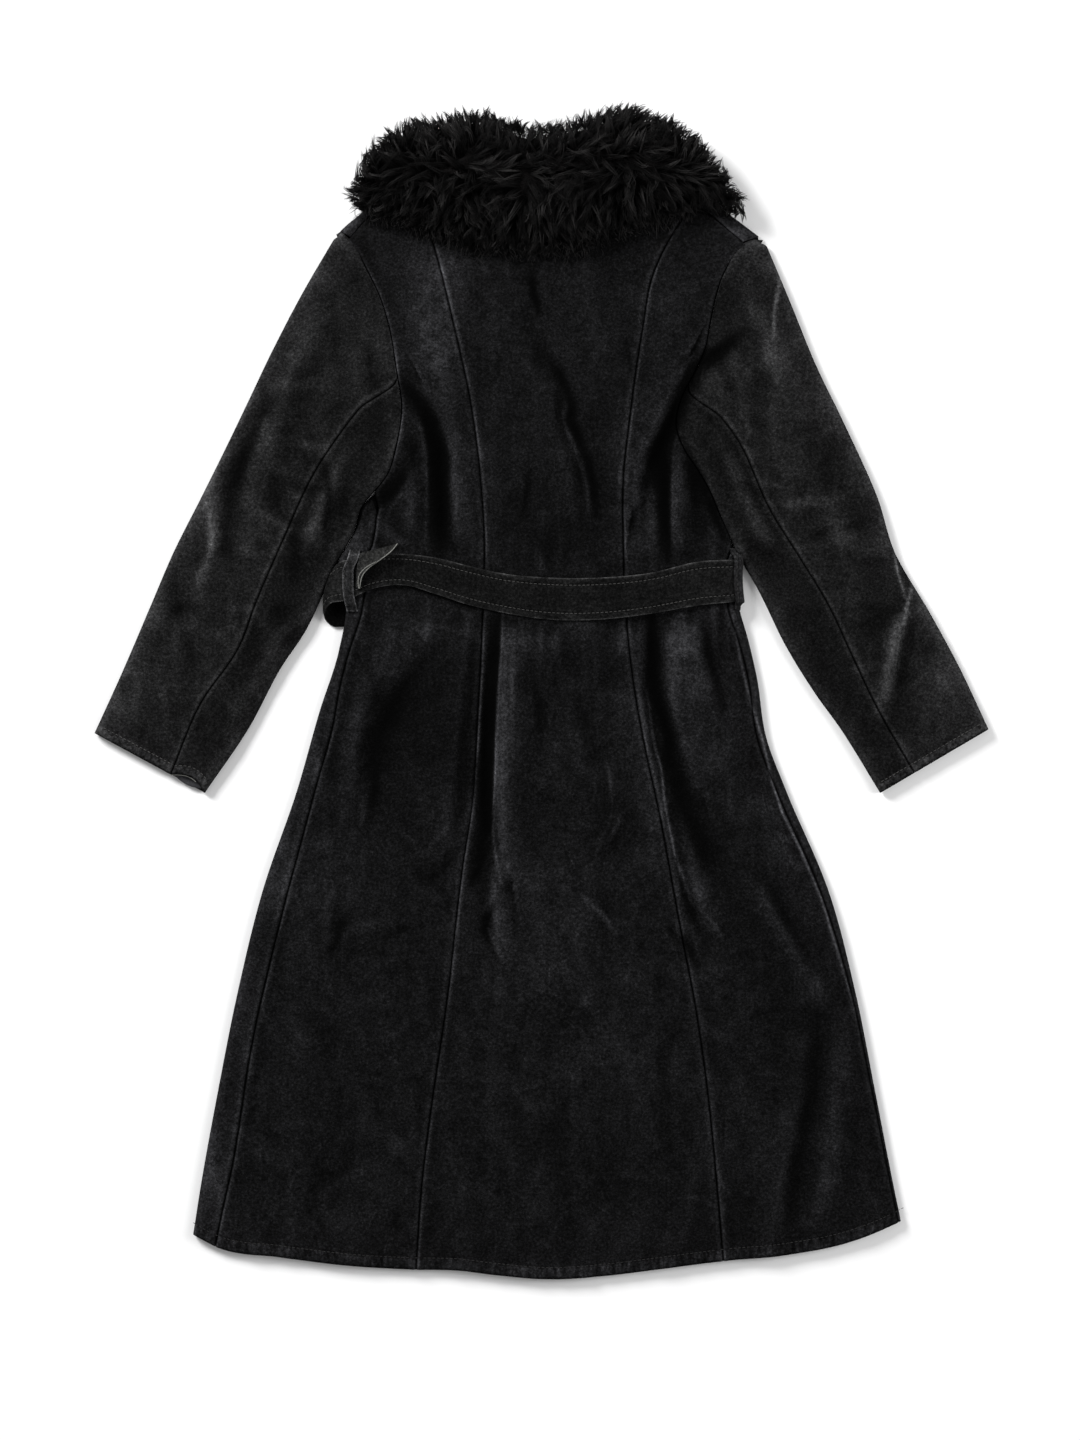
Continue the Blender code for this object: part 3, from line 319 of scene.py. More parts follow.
# Where the nap is brushed light (above 0) or lies dark (below 0):
# (x, y, reach across, reach up, lean of the long side in degrees, strength)
NAP = (
    # upper back
    (-117, 402, 30, 50, 0, 0.75), (-107, 345, 24, 34, 0, 0.70), (-96, 440, 30, 30, 0, 0.35),
    (112, 186, 14, 34, 4, 0.75), (80, 190, 14, 30, 0, 0.25), (130, 420, 24, 40, 0, 0.25),
    (68, 378, 12, 20, 0, 0.35), (-40, 250, 34, 40, 0, 0.12), (16, 200, 16, 40, 0, 0.3),
    (-4, 172, 10, 20, 0, 0.35), (-70, 180, 14, 50, 0, 0.15), (40, 470, 60, 24, 0, -0.25),
    (-30, 400, 30, 40, 0, -0.15), (10, 150, 70, 24, 0, -0.25), (162, 170, 14, 40, 0, -0.30),
    (-140, 180, 14, 30, 0, 0.1),
    # skirt
    (-118, 64, 16, 16, -36, 0.60), (-152, 28, 14, 26, -30, 0.65), (-100, 20, 20, 40, 0, -0.15),
    (-92, -60, 16, 50, 0, -0.45), (-130, -70, 24, 30, 0, 0.12), (-160, -50, 14, 40, -24, -0.55),
    (148, 54, 20, 26, -8, 1.05), (162, 16, 18, 30, 24, 0.85), (186, -10, 10, 30, 24, 0.3),
    (176, -60, 22, 22, 0, 0.25), (-26, 20, 14, 60, 0, 0.22), (-24, 60, 14, 20, 0, 0.20),
    (12, 58, 8, 16, 0, 0.50), (84, 52, 10, 34, 0, 0.40), (84, -4, 20, 12, -20, 0.30),
    (84, -50, 20, 40, 0, 0.20), (12, -60, 12, 50, 0, 0.10), (-28, -190, 24, 36, 14, 0.40),
    (10, -190, 26, 20, 0, 0.25), (80, -190, 26, 20, 0, 0.28), (112, -130, 7, 50, 12, 0.25),
    (148, -170, 7, 40, 18, 0.30), (215, -120, 40, 20, 0, 0.15), (196, -190, 20, 60, 14, -0.30),
    (240, -150, 12, 40, 24, 0.40), (262, -160, 9, 56, 20, 0.45), (230, -60, 12, 40, 16, -0.20),
    (-214, -215, 18, 30, -16, 0.35), (-186, -110, 8, 30, 8, 0.45), (-232, -100, 6, 50, 8, 0.40),
    (-150, -40, 50, 60, 0, -0.50), (-90, 36, 34, 60, 0, -0.30), (-264, -190, 10, 90, 14, 0.30),
    (0, -250, 80, 60, 0, 0.30), (20, 190, 60, 50, 0, -0.34), (-112, 400, 34, 60, 0, 0.22),
    # lower skirt
    (-10, -300, 30, 30, 0, 0.30), (92, -304, 20, 20, 0, 0.40), (60, -385, 60, 18, 10, 0.25),
    (-66, -300, 24, 50, 0, 0.20), (20, -330, 26, 26, 0, -0.20), (-190, -345, 14, 18, 0, 0.20),
    (-346, -500, 12, 70, 8, 0.55), (-310, -360, 8, 90, 10, 0.35), (-282, -200, 6, 70, 14, 0.35),
    (-300, -550, 30, 20, 0, 0.20), (-110, -340, 6, 60, 6, -0.30), (-230, -440, 60, 40, 0, -0.15),
    (0, -470, 90, 30, 0, -0.12), (60, -520, 50, 40, 0, -0.15), (260, -400, 16, 70, 0, -0.5),
    (300, -510, 24, 40, 10, 0.10), (262, -600, 90, 20, 0, 0.10), (330, -420, 10, 60, 12, 0.12),
    (0, -606, 120, 10, 0, 0.25), (-170, -560, 80, 24, 0, 0.08),
    # left sleeve
    (-372, 180, 11, 16, -24, 0.70), (-330, 268, 14, 26, -30, 0.45), (-350, 232, 10, 20, -30, 0.45),
    (-304, 186, 16, 24, 0, 0.40), (-240, 190, 12, 40, -12, 0.30), (-392, 96, 16, 30, -24, 0.22),
    (-425, 20, 20, 30, -20, 0.20), (-438, -20, 26, 14, 30, 0.40), (-420, 20, 36, 60, -28, 0.10),
    (-238, 430, 14, 20, 0, 0.35), (-226, 460, 12, 12, 0, -0.30), (-270, 360, 12, 24, -20, -0.25),
    (-240, 300, 30, 20, 0, -0.20), (-176, 290, 20, 14, -20, -0.25), (-176, 318, 20, 10, 30, 0.2),
    (-300, 60, 16, 40, -30, -0.15), (-326, 90, 6, 30, 0, 0.35), (-360, 108, 6, 16, 0, 0.40),
    (-340, -40, 20, 40, -30, -0.15), (-270, 90, 14, 24, -30, -0.30),
    # right sleeve
    (246, 350, 22, 12, 0, 0.40), (206, 330, 20, 20, 0, 0.25), (244, 300, 6, 26, 0, 0.35),
    (212, 284, 9, 14, 0, 0.30), (262, 236, 14, 20, 0, 0.22), (306, 182, 20, 12, 0, 0.35),
    (290, 158, 20, 8, -10, 0.35), (326, 156, 14, 10, 0, 0.35), (340, 190, 14, 20, 0, -0.30),
    (296, 232, 24, 16, 0, -0.18), (322, 104, 9, 24, 0, 0.30), (346, 60, 9, 40, 20, -0.30),
    (360, 8, 10, 14, 0, 0.15), (412, 8, 40, 70, 24, 0.22), (312, 16, 24, 70, 28, -0.22),
    (424, 14, 12, 24, 24, 0.35), (392, 60, 9, 40, 20, -0.25), (400, -52, 40, 7, 22, 0.30),
    (228, 112, 9, 12, 0, 0.35), (190, 260, 9, 50, 10, -0.25), (250, 30, 12, 50, 24, -0.15),
    (222, 452, 5, 14, 0, 0.30), (192, 406, 9, 40, -10, -0.35), (270, 420, 9, 40, 22, 0.15),
    (300, 330, 12, 40, 22, 0.12),
)

# Painted shade and highlights, as CREASES: the painted shade in a fold and under a sleeve's edge, the painted
# highlight along a fold's crest, and light scuffs
PAINTED_SHADE_LINES = (
    # upper back
    (((-146, 326), (-131, 309), (-119, 284), (-113, 258), (-111, 220), (-109, 180), (-108, 150)), -3.2, 8, 10),
    (((-136, 304), (-126, 278), (-121, 250), (-120, 220), (-121, 190), (-122, 160)), 1.2, 2.5, 2.5),
    (((-155, 372), (-152, 345), (-150, 306)), 0.9, 2, 2),
    (((-140, 264), (-138, 246), (-146, 226), (-160, 211), (-176, 199), (-190, 182)), -2.0, 9, 7),
    (((-138, 234), (-146, 212), (-158, 195), (-164, 180)), 0.7, 2.5, 2.5),
    (((176, 358), (166, 346), (153, 324), (141, 298), (131, 272), (122, 252)), -3.0, 7, 9),
    (((124, 268), (120, 244), (124, 216)), -2.2, 10, 12),
    (((131, 244), (130, 200), (131, 170), (133, 142)), -3.0, 8, 4),
    (((164, 350), (149, 326), (136, 302), (124, 278), (116, 260), (106, 236)), 0.9, 2.5, 2.5),
    (((147, 274), (141, 268), (138, 250), (137, 215), (137, 180), (139, 148)), 0.9, 1.6, 2.0),
    (((150, 252), (159, 224), (165, 196)), -1.8, 7, 8),
    (((148, 268), (158, 244), (170, 222), (182, 190), (196, 160)), -2.2, 5, 4),
    (((18, 336), (26, 320), (31, 303), (29, 287), (37, 270), (47, 245), (53, 218), (57, 190)), -2.6, 4, 5.5),
    (((26, 304), (23, 294), (24, 284), (27, 274), (34, 260), (41, 238), (47, 214), (51, 190)), 0.7, 1.6, 1.8),
    (((-6, 364), (8, 346), (20, 330)), -0.8, 12, 8),
    (((-10, 438), (-9, 424), (-5, 411), (-3, 398)), -1.5, 3, 3.5),
    (((-13, 234), (-16, 215), (-19, 190)), -1.2, 3.5, 3.5),
    (((-5, 172), (3, 158), (8, 140)), -0.9, 5, 5),
    (((88, 372), (92, 350), (95, 334)), -0.6, 3, 3),
    (((-192, 484), (-184, 462), (-180, 438)), -0.6, 9, 7),
    (((177, 506), (192, 494), (213, 476)), 1.0, 2.2, 2.2),
    (((190, 503), (208, 489), (226, 475)), 0.7, 9, 7),
    (((-190, 502), (-205, 489), (-212, 482)), 0.8, 5, 3),
    # skirt, centre and its two seams
    (((-47, 84), (-49, 20), (-53, -40)), -1.9, 7, 5),
    (((-54, 0), (-57, -50), (-59, -100), (-59, -140), (-64, -165), (-71, -190)), -2.2, 8, 7),
    (((-61, 76), (-62, 30), (-65, -23), (-70, -90), (-75, -135), (-83, -190), (-96, -300)), 1.1, 1.3, 1.5),
    (((-41, 84), (-43, 40), (-46, 0), (-48, -50), (-50, -100), (-51, -130), (-51, -152), (-48, -176),
        (-42, -200)), 2.5, 1.3, 1.9),
    (((-38, 80), (-42, 20), (-45, -40), (-47, -100), (-47, -150)), 0.22, 3, 14),
    (((-60, -160), (-67, -185), (-75, -202)), -1.3, 4, 4),
    (((-53, -148), (-60, -162), (-68, -182)), 0.9, 2, 2),
    (((-50, -220), (-57, -236), (-60, -248), (-54, -260)), -1.8, 4, 4),
    (((-57, -246), (-52, -256), (-46, -270), (-40, -280)), 1.3, 2, 3),
    (((-8, 12), (-2, -20), (-2, -48)), -0.7, 5, 5),
    (((38, -8), (50, -40), (54, -74)), -0.7, 8, 7),
    (((67, -68), (72, -90), (74, -112)), 0.9, 2, 2.5),
    (((85, -116), (76, -130), (68, -150), (61, -168)), -1.3, 3, 3),
    (((81, -118), (72, -134), (65, -152)), 0.7, 1.8, 1.8),
    (((41, -210), (58, -224), (70, -240), (80, -254)), 1.0, 2, 2),
    (((115, 84), (116, 50), (117, 20), (119, 0), (125, -22), (131, -42), (134, -72)), -3.0, 4, 7),
    (((132, -62), (140, -90), (150, -120), (160, -150), (174, -182)), -1.8, 7, 12),
    (((111, 4), (115, -30), (119, -55), (126, -80), (128, -105), (132, -130), (140, -168), (147, -188),
        (158, -222)), 2.3, 1.3, 1.7),
    (((170, -228), (182, -242), (191, -258)), 1.0, 2, 2),
    (((150, -254), (156, -270), (163, -286)), -1.4, 3.5, 3.5),
    (((170, 76), (176, 40), (186, 4), (194, -22)), -1.2, 5, 5),
    # skirt, sides
    (((200, 84), (210, 31), (221, -13), (231, -43), (242, -92), (253, -125), (272, -163), (294, -215),
        (306, -254), (317, -291), (328, -328), (334, -358)), 1.9, 1.5, 1.5),
    (((-130, 22), (-150, 0), (-166, -30), (-177, -62)), -0.9, 13, 12),
    (((-172, -70), (-175, -100), (-183, -130), (-192, -154)), -1.1, 5, 6),
    (((-183, -88), (-185, -120), (-192, -152)), 0.6, 4, 4),
    (((-204, -232), (-214, -254), (-222, -274)), -1.1, 5, 5),
    (((-156, -140), (-140, -150), (-127, -167)), 0.6, 1.8, 1.8),
    (((-92, -128), (-108, -150), (-125, -167)), 0.6, 1.8, 1.8),
    (((-88, -165), (-108, -186), (-130, -202)), -0.6, 8, 8),
    (((-180, -286), (-150, -277), (-128, -273)), 0.5, 1.8, 1.8),
    (((-160, -380), (-153, -386), (-150, -394)), 0.7, 2, 2),
    (((242, -205), (252, -230), (266, -258), (284, -292)), -1.1, 7, 6),
    (((289, -330), (287, -400), (273, -470), (264, -520), (262, -562)), -0.8, 8, 8),
    (((140, -531), (160, -528), (182, -536)), 0.6, 1.8, 1.8),
    (((181, -490), (190, -512), (197, -526)), 0.6, 1.8, 1.8),
    (((-34, -419), (-10, -412), (20, -399), (62, -407)), 0.5, 3, 3),
    (((38, -369), (52, -371), (66, -372)), 0.5, 1.8, 1.8),
    # left sleeve
    (((-286, 306), (-296, 288), (-305, 268), (-316, 243), (-326, 215), (-332, 188), (-330, 152)), -1.5, 8, 9),
    (((-284, 300), (-292, 280), (-301, 258), (-308, 236), (-312, 205)), 0.6, 3, 8),
    (((-352, 212), (-349, 190), (-347, 165), (-350, 145), (-361, 120)), 1.7, 3.5, 7),
    (((-302, 163), (-290, 155), (-278, 160)), -0.7, 3.5, 3.5),
    (((-286, 232), (-280, 214), (-276, 188)), -0.6, 7, 7),
    (((-388, 126), (-384, 100), (-378, 75), (-372, 50), (-366, 22)), -0.8, 8, 8),
    (((-234, 246), (-225, 232), (-222, 205), (-226, 180), (-224, 162)), -1.3, 5, 4),
    (((-262, 184), (-258, 150), (-262, 116)), -0.8, 6, 6),
    (((-244, 72), (-258, 62), (-276, 50)), -0.8, 7, 7),
    # right sleeve
    (((251, 440), (247, 420), (244, 400), (243, 374)), 1.8, 1.8, 3),
    (((205, 376), (193, 365), (181, 356), (171, 345)), -2.8, 6, 7),
    (((199, 366), (184, 357), (172, 347), (168, 336), (171, 324)), 0.9, 1.8, 1.8),
    (((204, 296), (216, 286), (218, 272), (213, 260)), 0.8, 2, 2),
    (((259, 197), (272, 203), (286, 209)), 0.9, 1.6, 1.6),
    (((262, 193), (276, 196), (288, 201)), 0.6, 1.6, 1.6),
    (((371, 148), (374, 128), (379, 112), (383, 99)), 2.2, 1.6, 1.6),
    (((376, 146), (382, 128), (386, 113)), -1.2, 3.5, 4),
    (((391, 118), (387, 104), (384, 92), (380, 74)), 2.3, 1.8, 1.8),
    (((383, 86), (376, 66), (370, 46), (365, 26)), 0.35, 6, 4),
)

# Steps between the grids' points
ROW_STEP = 2.6
HEM_ROW_STEP = 1.6
HEM_ROWS_REACH = 22.0
SEAM_COLUMNS = (0, 0.002, 0.0045, 0.0075, 0.011, 0.015, 0.021, 0.029)  # shares of a panel's width at a seam
CENTRE_COUNT = 88
SIDE_COUNT = 64
FLOOR_COUNT = 22
LAP_COLUMNS = (62, 50, 38, 26, 14, 2, -10, -20, -28, -34, -LAP_HALF)
BAND_TOP = (1, 0.93, 0.85, 0.74, 0.62, 0.5, 0.4, 0.31, 0.23, 0.16, 0.1, 0.05, 0.015, 0)
BAND_LOW = (0.06, 0.16, 0.32, 0.6)
SLEEVE_STEPS = 120
# Shares of a sleeve's length, down from the armhole and up from the cuff, and of a loop's width
STATIONS_ARMHOLE = (0, 0.002, 0.0045, 0.0075, 0.011, 0.015)
STATIONS_CUFF = (0.036, 0.031, 0.026, 0.0225, 0.0195, 0.0165, 0.013, 0.0095, 0.0065, 0.004, 0.002, 0)
LOOP_SHARES = np.array((
    0, 0.03, 0.08, 0.14, 0.19, 0.24, 0.3, 0.4, 0.5, 0.6, 0.7, 0.76, 0.81, 0.86, 0.92, 0.97, 1,
))

# Sewing
HEM_STITCH = 12.6  # the stitched line lies this far above the hem
CUFF_STITCH = 10.0
CUFF_STITCHED = {"upper": 45, "under": 27}  # the columns of each sleeve piece that show at its cuff
BELT_STITCH = 7.3
STITCH_LENGTH = 3.4
STITCH_STEP = 4.6
THREAD = 0.34  # the thread's half width
PUCKER = 6.5  # from one pucker of a stitched edge to the next

# The fur: the line where it parts, (x, y), and its locks
PARTING = ((-175, 538), (-120, 546), (-60, 545), (0, 545), (40, 556), (95, 557), (150, 546), (185, 532))
LOCKS = 1500
EDGE_LOCKS = 330  # more of them along the pile's outline, pointing out
STRANDS = 9
STRAND_STEPS = 4
LOCK_LENGTH = (26.0, 44.0)
STRAND_HALF_WIDTH = 0.36
CORE_INSET = 10.0  # the dense underfur lies this far inside the pile's outline
CORE_DEPTH = 9.0  # and this far below its top
FUR_TOP = 49.5  # no strand goes above this

# The camera: the photograph's middle on the coat, the length that it shows, and the level it is measured at
PHOTO_MIDDLE = (-1.6, -27.3)
PHOTO_LENGTH = 1512.0
PHOTO_LEVEL = 12.0
LENS, SENSOR = 110, 36
SKY_STRENGTH = 0.42  # the even light of the studio

NOISE_CELLS = 97

OUTLINE = {-1: OUTLINE_LEFT, 1: OUTLINE_RIGHT}
STRIP = {-1: STRIP_LEFT, 1: STRIP_RIGHT}
SLEEVE = {-1: SLEEVE_LEFT, 1: SLEEVE_RIGHT}


def smooth(table, at):
    """A smooth curve through the table's (place, value) rows, level beyond its ends."""
    place, value = np.array(table, float).T
    slope = np.gradient(value, place)
    low = np.clip(np.searchsorted(place, at) - 1, 0, len(place) - 2)
    span = place[low + 1] - place[low]
    t = np.clip((np.asarray(at, float) - place[low]) / span, 0, 1)
    rise = 3 * t**2 - 2 * t**3
    bend = span * (slope[low] * (t**3 - 2 * t**2 + t) + slope[low + 1] * (t**3 - t**2))
    return value[low] + rise * (value[low + 1] - value[low]) + bend


def table_row(table, share):
    """A smooth row of a table of sections, this share of the way down it."""
    rows = np.array(table, float)
    place = np.linspace(0, 1, len(rows))
    return [float(smooth(np.column_stack([place, column]), share)) for column in rows.T]


def straight(table, at):
    """Straight lines through the table's (place, value) rows."""
    return np.interp(at, *np.transpose(table))


def ease(start, end, at):
    """0 up to start, 1 from end on, and a soft step between."""
    t = np.clip((at - start) / (end - start), 0, 1)
    return t * t * (3 - 2 * t)


def bell(at, width, middle=0.0):
    """A soft bump: 1 at its middle, 0.37 at this width away, and near 0 at twice that."""
    return np.exp(-(((at - middle) / width) ** 2))


def running(gaps):
    """How far along a line each of its points is, from the gaps between them."""
    return np.concatenate([[0], np.cumsum(gaps)])


def lattice_noise(x, y, size, seed):
    """Smooth random values from -1 to 1, on a lattice with cells of this size."""
    table = np.random.default_rng(seed).uniform(-1, 1, (NOISE_CELLS, NOISE_CELLS))
    u, v = np.asarray(x) / size, np.asarray(y) / size
    i, j = np.floor(u).astype(int), np.floor(v).astype(int)
    s, t = u - i, v - j
    s, t = s * s * (3 - 2 * s), t * t * (3 - 2 * t)
    i, j, k, m = i % NOISE_CELLS, j % NOISE_CELLS, (i + 1) % NOISE_CELLS, (j + 1) % NOISE_CELLS
    low = table[i, j] * (1 - s) + table[k, j] * s
    high = table[i, m] * (1 - s) + table[k, m] * s
    return low * (1 - t) + high * t


def fold_height(fold, x, y):
    """What one fold adds at each point: a soft ridge along its line, lower towards its ends."""
    line, height, width_minus, width_plus = fold
    steps = np.cumsum([0] + [np.hypot(b[0] - a[0], b[1] - a[1]) for a, b in zip(line, line[1:])])
    nearest = np.full(np.shape(x), np.inf)
    side = np.zeros(np.shape(x))
    along = np.zeros(np.shape(x))
    for (ax, ay), (bx, by), begin, end in zip(line, line[1:], steps, steps[1:]):
        t = np.clip(((x - ax) * (bx - ax) + (y - ay) * (by - ay)) / (end - begin) ** 2, 0, 1)
        away = np.hypot(x - ax - t * (bx - ax), y - ay - t * (by - ay))
        closer = away < nearest
        nearest = np.where(closer, away, nearest)
        side = np.where(closer, (bx - ax) * (y - ay) - (by - ay) * (x - ax), side)
        along = np.where(closer, (begin + t * (end - begin)) / steps[-1], along)
    width = np.where(side < 0, width_minus, width_plus)
    return height * bell(nearest, width) * (0.35 + 0.65 * np.sin(np.pi * along) ** 0.7)


def hem_edge(x):
    return smooth(HEM, x)


def back_edge(x):
    return smooth(BACK_TOP, x)


def pressed(x, y, full, clear):
    """What is left of the folds where the belt presses on them, over the back or under the fronts."""
    middle = (smooth(BELT_TOP, x) + smooth(BELT_BOTTOM, x)) / 2
    return 1 - BELT_PRESS * (1 - ease(full, clear, np.abs(y - middle)))


def under_belt(x, y):
    """How far the belt's under part lifts what lies on it."""
    away = np.abs(y - straight(BELT_UNDER, x))
    return BELT_RISE * (1 - ease(BELT_WIDTH / 2 + 11, BELT_WIDTH / 2 + 62, away))


def seam_end(x):
    return np.where(x < 0, SEAM_END_LEFT, SEAM_END_RIGHT)


def shoulder_fold(x):
    return np.where(x < 0, smooth(SHOULDER_FOLD_LEFT, x), smooth(SHOULDER_FOLD_RIGHT, x))


def inset_from_outline(x, y):
    """How far a point of the back lies inside the body's folded edges."""
    side = np.minimum(x - smooth(OUTLINE_LEFT, y), smooth(OUTLINE_RIGHT, y) - x)
    side = side + NOT_FOLDED * ease(seam_end(x) - 6, seam_end(x) + 2, y)
    neck = 1 - ease(NECK_POINT - 8, NECK_POINT + 8, np.abs(x))
    shoulder = shoulder_fold(x) - y + NOT_FOLDED * neck
    return np.clip(np.minimum(side, shoulder), 0, None)


def relief(x, y):
    """All the folds, pressed nearly flat where the belt crosses them."""
    return sum(fold_height(fold, x, y) for fold in FOLDS) * pressed(x, y, 24, 52)


def round_off(height, inset):
    """The height of a folded edge's upper side, down to half at the edge itself."""
    share = np.clip(1 - inset / FOLD_TOP, 0, 1)
    return height * (0.5 + 0.5 * np.sqrt(1 - share**2))


def back_height(x, y):
    lap = LAP_BACK_RISE * (1 - ease(LAP_HALF + 6, LAP_HALF + 30, np.abs(x)))
    return REST_HEIGHT + lap + under_belt(x, y) + relief(x, y)


def body_top(x, y):
    """The outer face of the back, over its whole outline."""
    return round_off(back_height(x, y), inset_from_outline(x, y))


def crumple(x, y):
    """The soft unevenness of worn suede, longer up the coat than across."""
    warp_x = x + 16 * lattice_noise(x, y, 75, 1)
    warp_y = y + 16 * lattice_noise(x, y, 75, 2)
    total = 1.15 * lattice_noise(warp_x, warp_y * 0.5, 38, 3)
    total += 0.60 * lattice_noise(warp_x, warp_y * 0.7, 17, 4)
    total += 0.45 * np.clip(1 - 2.4 * np.abs(lattice_noise(warp_x, warp_y * 0.6, 23, 5)), 0, 1)
    return total + 0.20 * lattice_noise(x, y, 7.5, 6)


def gathers(x, y):
    """Short pleats that run out from under the belt, above and below it."""
    away = np.maximum(y - smooth(BELT_TOP, x), smooth(BELT_BOTTOM, x) - y)
    lines = lattice_noise(x + 0.05 * away, y * 0.10, 12, 7) + 0.5 * lattice_noise(x, y * 0.1, 6.5, 8)
    return 1.5 * lines * np.exp(-np.clip(away, 0, None) / 48) * ease(-4, 6, away) * (np.abs(x) < 215)


def cloth_detail(x, y):
    """Everything smaller than the folds, pressed flat where the belt crosses it."""
    total = crumple(x, y) + gathers(x, y) + sum(fold_height(crease, x, y) for crease in CREASES)
    return total * pressed(x, y, 20, 30)


def nap_and_fold_shade(x, y):
    """How light the nap is brushed at each point, with the painted shade and highlights of the folds added: 0
    is plain.
    """
    total = np.zeros(np.shape(x))
    for middle_x, middle_y, across, up, lean, strength in NAP:
        cos, sin = math.cos(math.radians(lean)), math.sin(math.radians(lean))
        right = (x - middle_x) * cos + (y - middle_y) * sin
        rise = (y - middle_y) * cos - (x - middle_x) * sin
        total = total + strength * np.exp(-((right / across) ** 2) - (rise / up) ** 2)
    return total + sum(fold_height(mark, x, y) for mark in PAINTED_SHADE_LINES)


def seam_roll(away, lump, ridge):
    """The cloth's dip into a seam, and the ridge of the turned-in edges beside it."""
    return -2.0 * bell(away, 1.1) + ridge * (1 + 0.45 * lump) * bell(away, 2.6, 3.6)


def seam_highlight(away):
    """How light the turned-in edge beside a seam is painted: a painted highlight where the light catches the
    seam's wall.
    """
    return bell(away, 1.1, 1.7)


def stitched_edge(away, along, line):
    """A turned-up edge: double up to its stitched line, puckered there, and soft at the fold."""
    pucker = lattice_noise(along, away * 0.12, PUCKER, 9)
    total = 0.9 * (1 - ease(line - 1.5, line + 3.5, away))
    total -= 0.8 * bell(away, 1.5, line)
    total += 0.5 * pucker * bell(away, line * 0.7, line * 0.7)
    return total - 2.2 * bell(away, 1.6)


def hem_band(away, line):
    """1 between a turned-up edge and its stitches, where the cloth ripples, and 0 past them."""
    return 1 - ease(line - 1, line + 3, away)


def coat_face(x, y, inset):
    """The coat's outer face with its creases, this far inside its folded edge."""
    detail = cloth_detail(x, y) * np.clip(inset / 12, 0.15, 1)
    return round_off(back_height(x, y) + detail + stitched_edge(y - hem_edge(x), x, HEM_STITCH), inset)


def meeting_height(side, rim):
    """The height at which a line x = side(y) meets an edge y = rim(x)."""
    y = rim(side(0.0))
    for _ in range(80):
        y = 0.75 * y + 0.25 * rim(side(y))
    return float(y)


def patch(left, right, bottom, top, across, up):
    """A four-sided panel in plan, between x = left(y), x = right(y), y = bottom(x) and y = top(x)."""
    ends = [[meeting_height(side, rim) for rim in (bottom, top)] for side in (left, right)]
    v = np.array(up)[:, None]
    u = np.array(across)[None, :]

    def side_points(side, low_high):
        y = low_high[0] + (low_high[1] - low_high[0]) * v
        return np.stack([side(y), y])

    def rim_points(rim, end):
        first, last = left(ends[0][end]), right(ends[1][end])
        x = first + (last - first) * u
        return np.stack([x, rim(x)])

    low, high = rim_points(bottom, 0), rim_points(top, 1)
    sides = (1 - u) * side_points(left, ends[0]) + u * side_points(right, ends[1])
    corners = (1 - v) * ((1 - u) * low[..., :1] + u * low[..., -1:])
    corners = corners + v * ((1 - u) * high[..., :1] + u * high[..., -1:])
    return sides + ((1 - v) * low + v * high) - corners


def grid_faces(rows, columns, closed=False):
    faces = []
    for r in range(rows - 1):
        for c in range(columns if closed else columns - 1):
            d = (c + 1) % columns
            faces.append((r * columns + c, r * columns + d, (r + 1) * columns + d, (r + 1) * columns + c))
    return faces


def grid_normals(grid):
    normals = np.cross(np.gradient(grid, axis=1), np.gradient(grid, axis=0))
    return normals / np.linalg.norm(normals, axis=2, keepdims=True)


def upright(grid):
    """Straight up, at each of a grid's points."""
    return np.zeros(grid.shape) + (0, 0, 1)


def blurred(height, cells):
    """The grid's heights averaged over this many cells each way, twice."""
    width = 2 * cells + 1
    for axis in (0, 1, 0, 1):
        pad = [(0, 0), (0, 0)]
        pad[axis] = (cells + 1, cells)
        total = np.cumsum(np.pad(height, pad, mode="edge"), axis=axis)
        upper = np.take(total, range(width, total.shape[axis]), axis=axis)
        lower = np.take(total, range(total.shape[axis] - width), axis=axis)
        height = (upper - lower) / width
    return height


def wear_and_hollow_shade(outer):
    """How far each point stands above the cloth round it: crests are rubbed paler with use, and hollows get a
    painted shade, darker than the plain cloth.
    """
    height = outer[..., 2]
    stand = 0.55 * (height - blurred(height, 2)) + 0.22 * (height - blurred(height, 7))
    return np.clip(stand, -1.2, 1.2)


def new_mesh(name, points, faces, material, tones=None):
    mesh = bpy.data.meshes.new(name)
    mesh.from_pydata((np.asarray(points, float) * METRES).tolist(), [], faces)
    mesh.update()
    for attribute, values in (tones or {}).items():
        layer = mesh.attributes.new(attribute, "FLOAT", "POINT")
        layer.data.foreach_set("value", np.asarray(values, np.float32))
    obj = bpy.data.objects.new(name, mesh)
    bpy.context.scene.collection.objects.link(obj)
    mesh.materials.append(material)
    mesh.shade_smooth()
    return obj


def piece(name, points, faces, finish, nodes, tones=None):
    """A mesh that rides on the coat with its finish's material, and stands for its solids, which it hides."""
    material, slot = finish
    obj = new_mesh(name, points, faces, material, tones)
    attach(obj, "root")
    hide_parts(*nodes)
    return obj


def declare(obj, outer):
    """Works out the cut: its greatest width and length along the cloth, or a bent corner's box, and its area,
    and keeps none of them.
    """
    across, up = np.diff(outer, axis=1), np.diff(outer, axis=0)
    width = np.linalg.norm(across, axis=2).sum(axis=1).max() * METRES
    length = np.linalg.norm(up, axis=2).sum(axis=0).max() * METRES
    area = float(np.linalg.norm(np.cross(across[:-1], up[:, :-1]), axis=2).sum()) * METRES**2
    if area < LEAST_FILL * width * length:
        width, length = np.ptp(outer.reshape(-1, 3), axis=0)[:2] * METRES


def thinned(count, keep):
    """Every so many of the numbers up to count, and the last."""
    return sorted({*range(0, count, keep), count - 1})


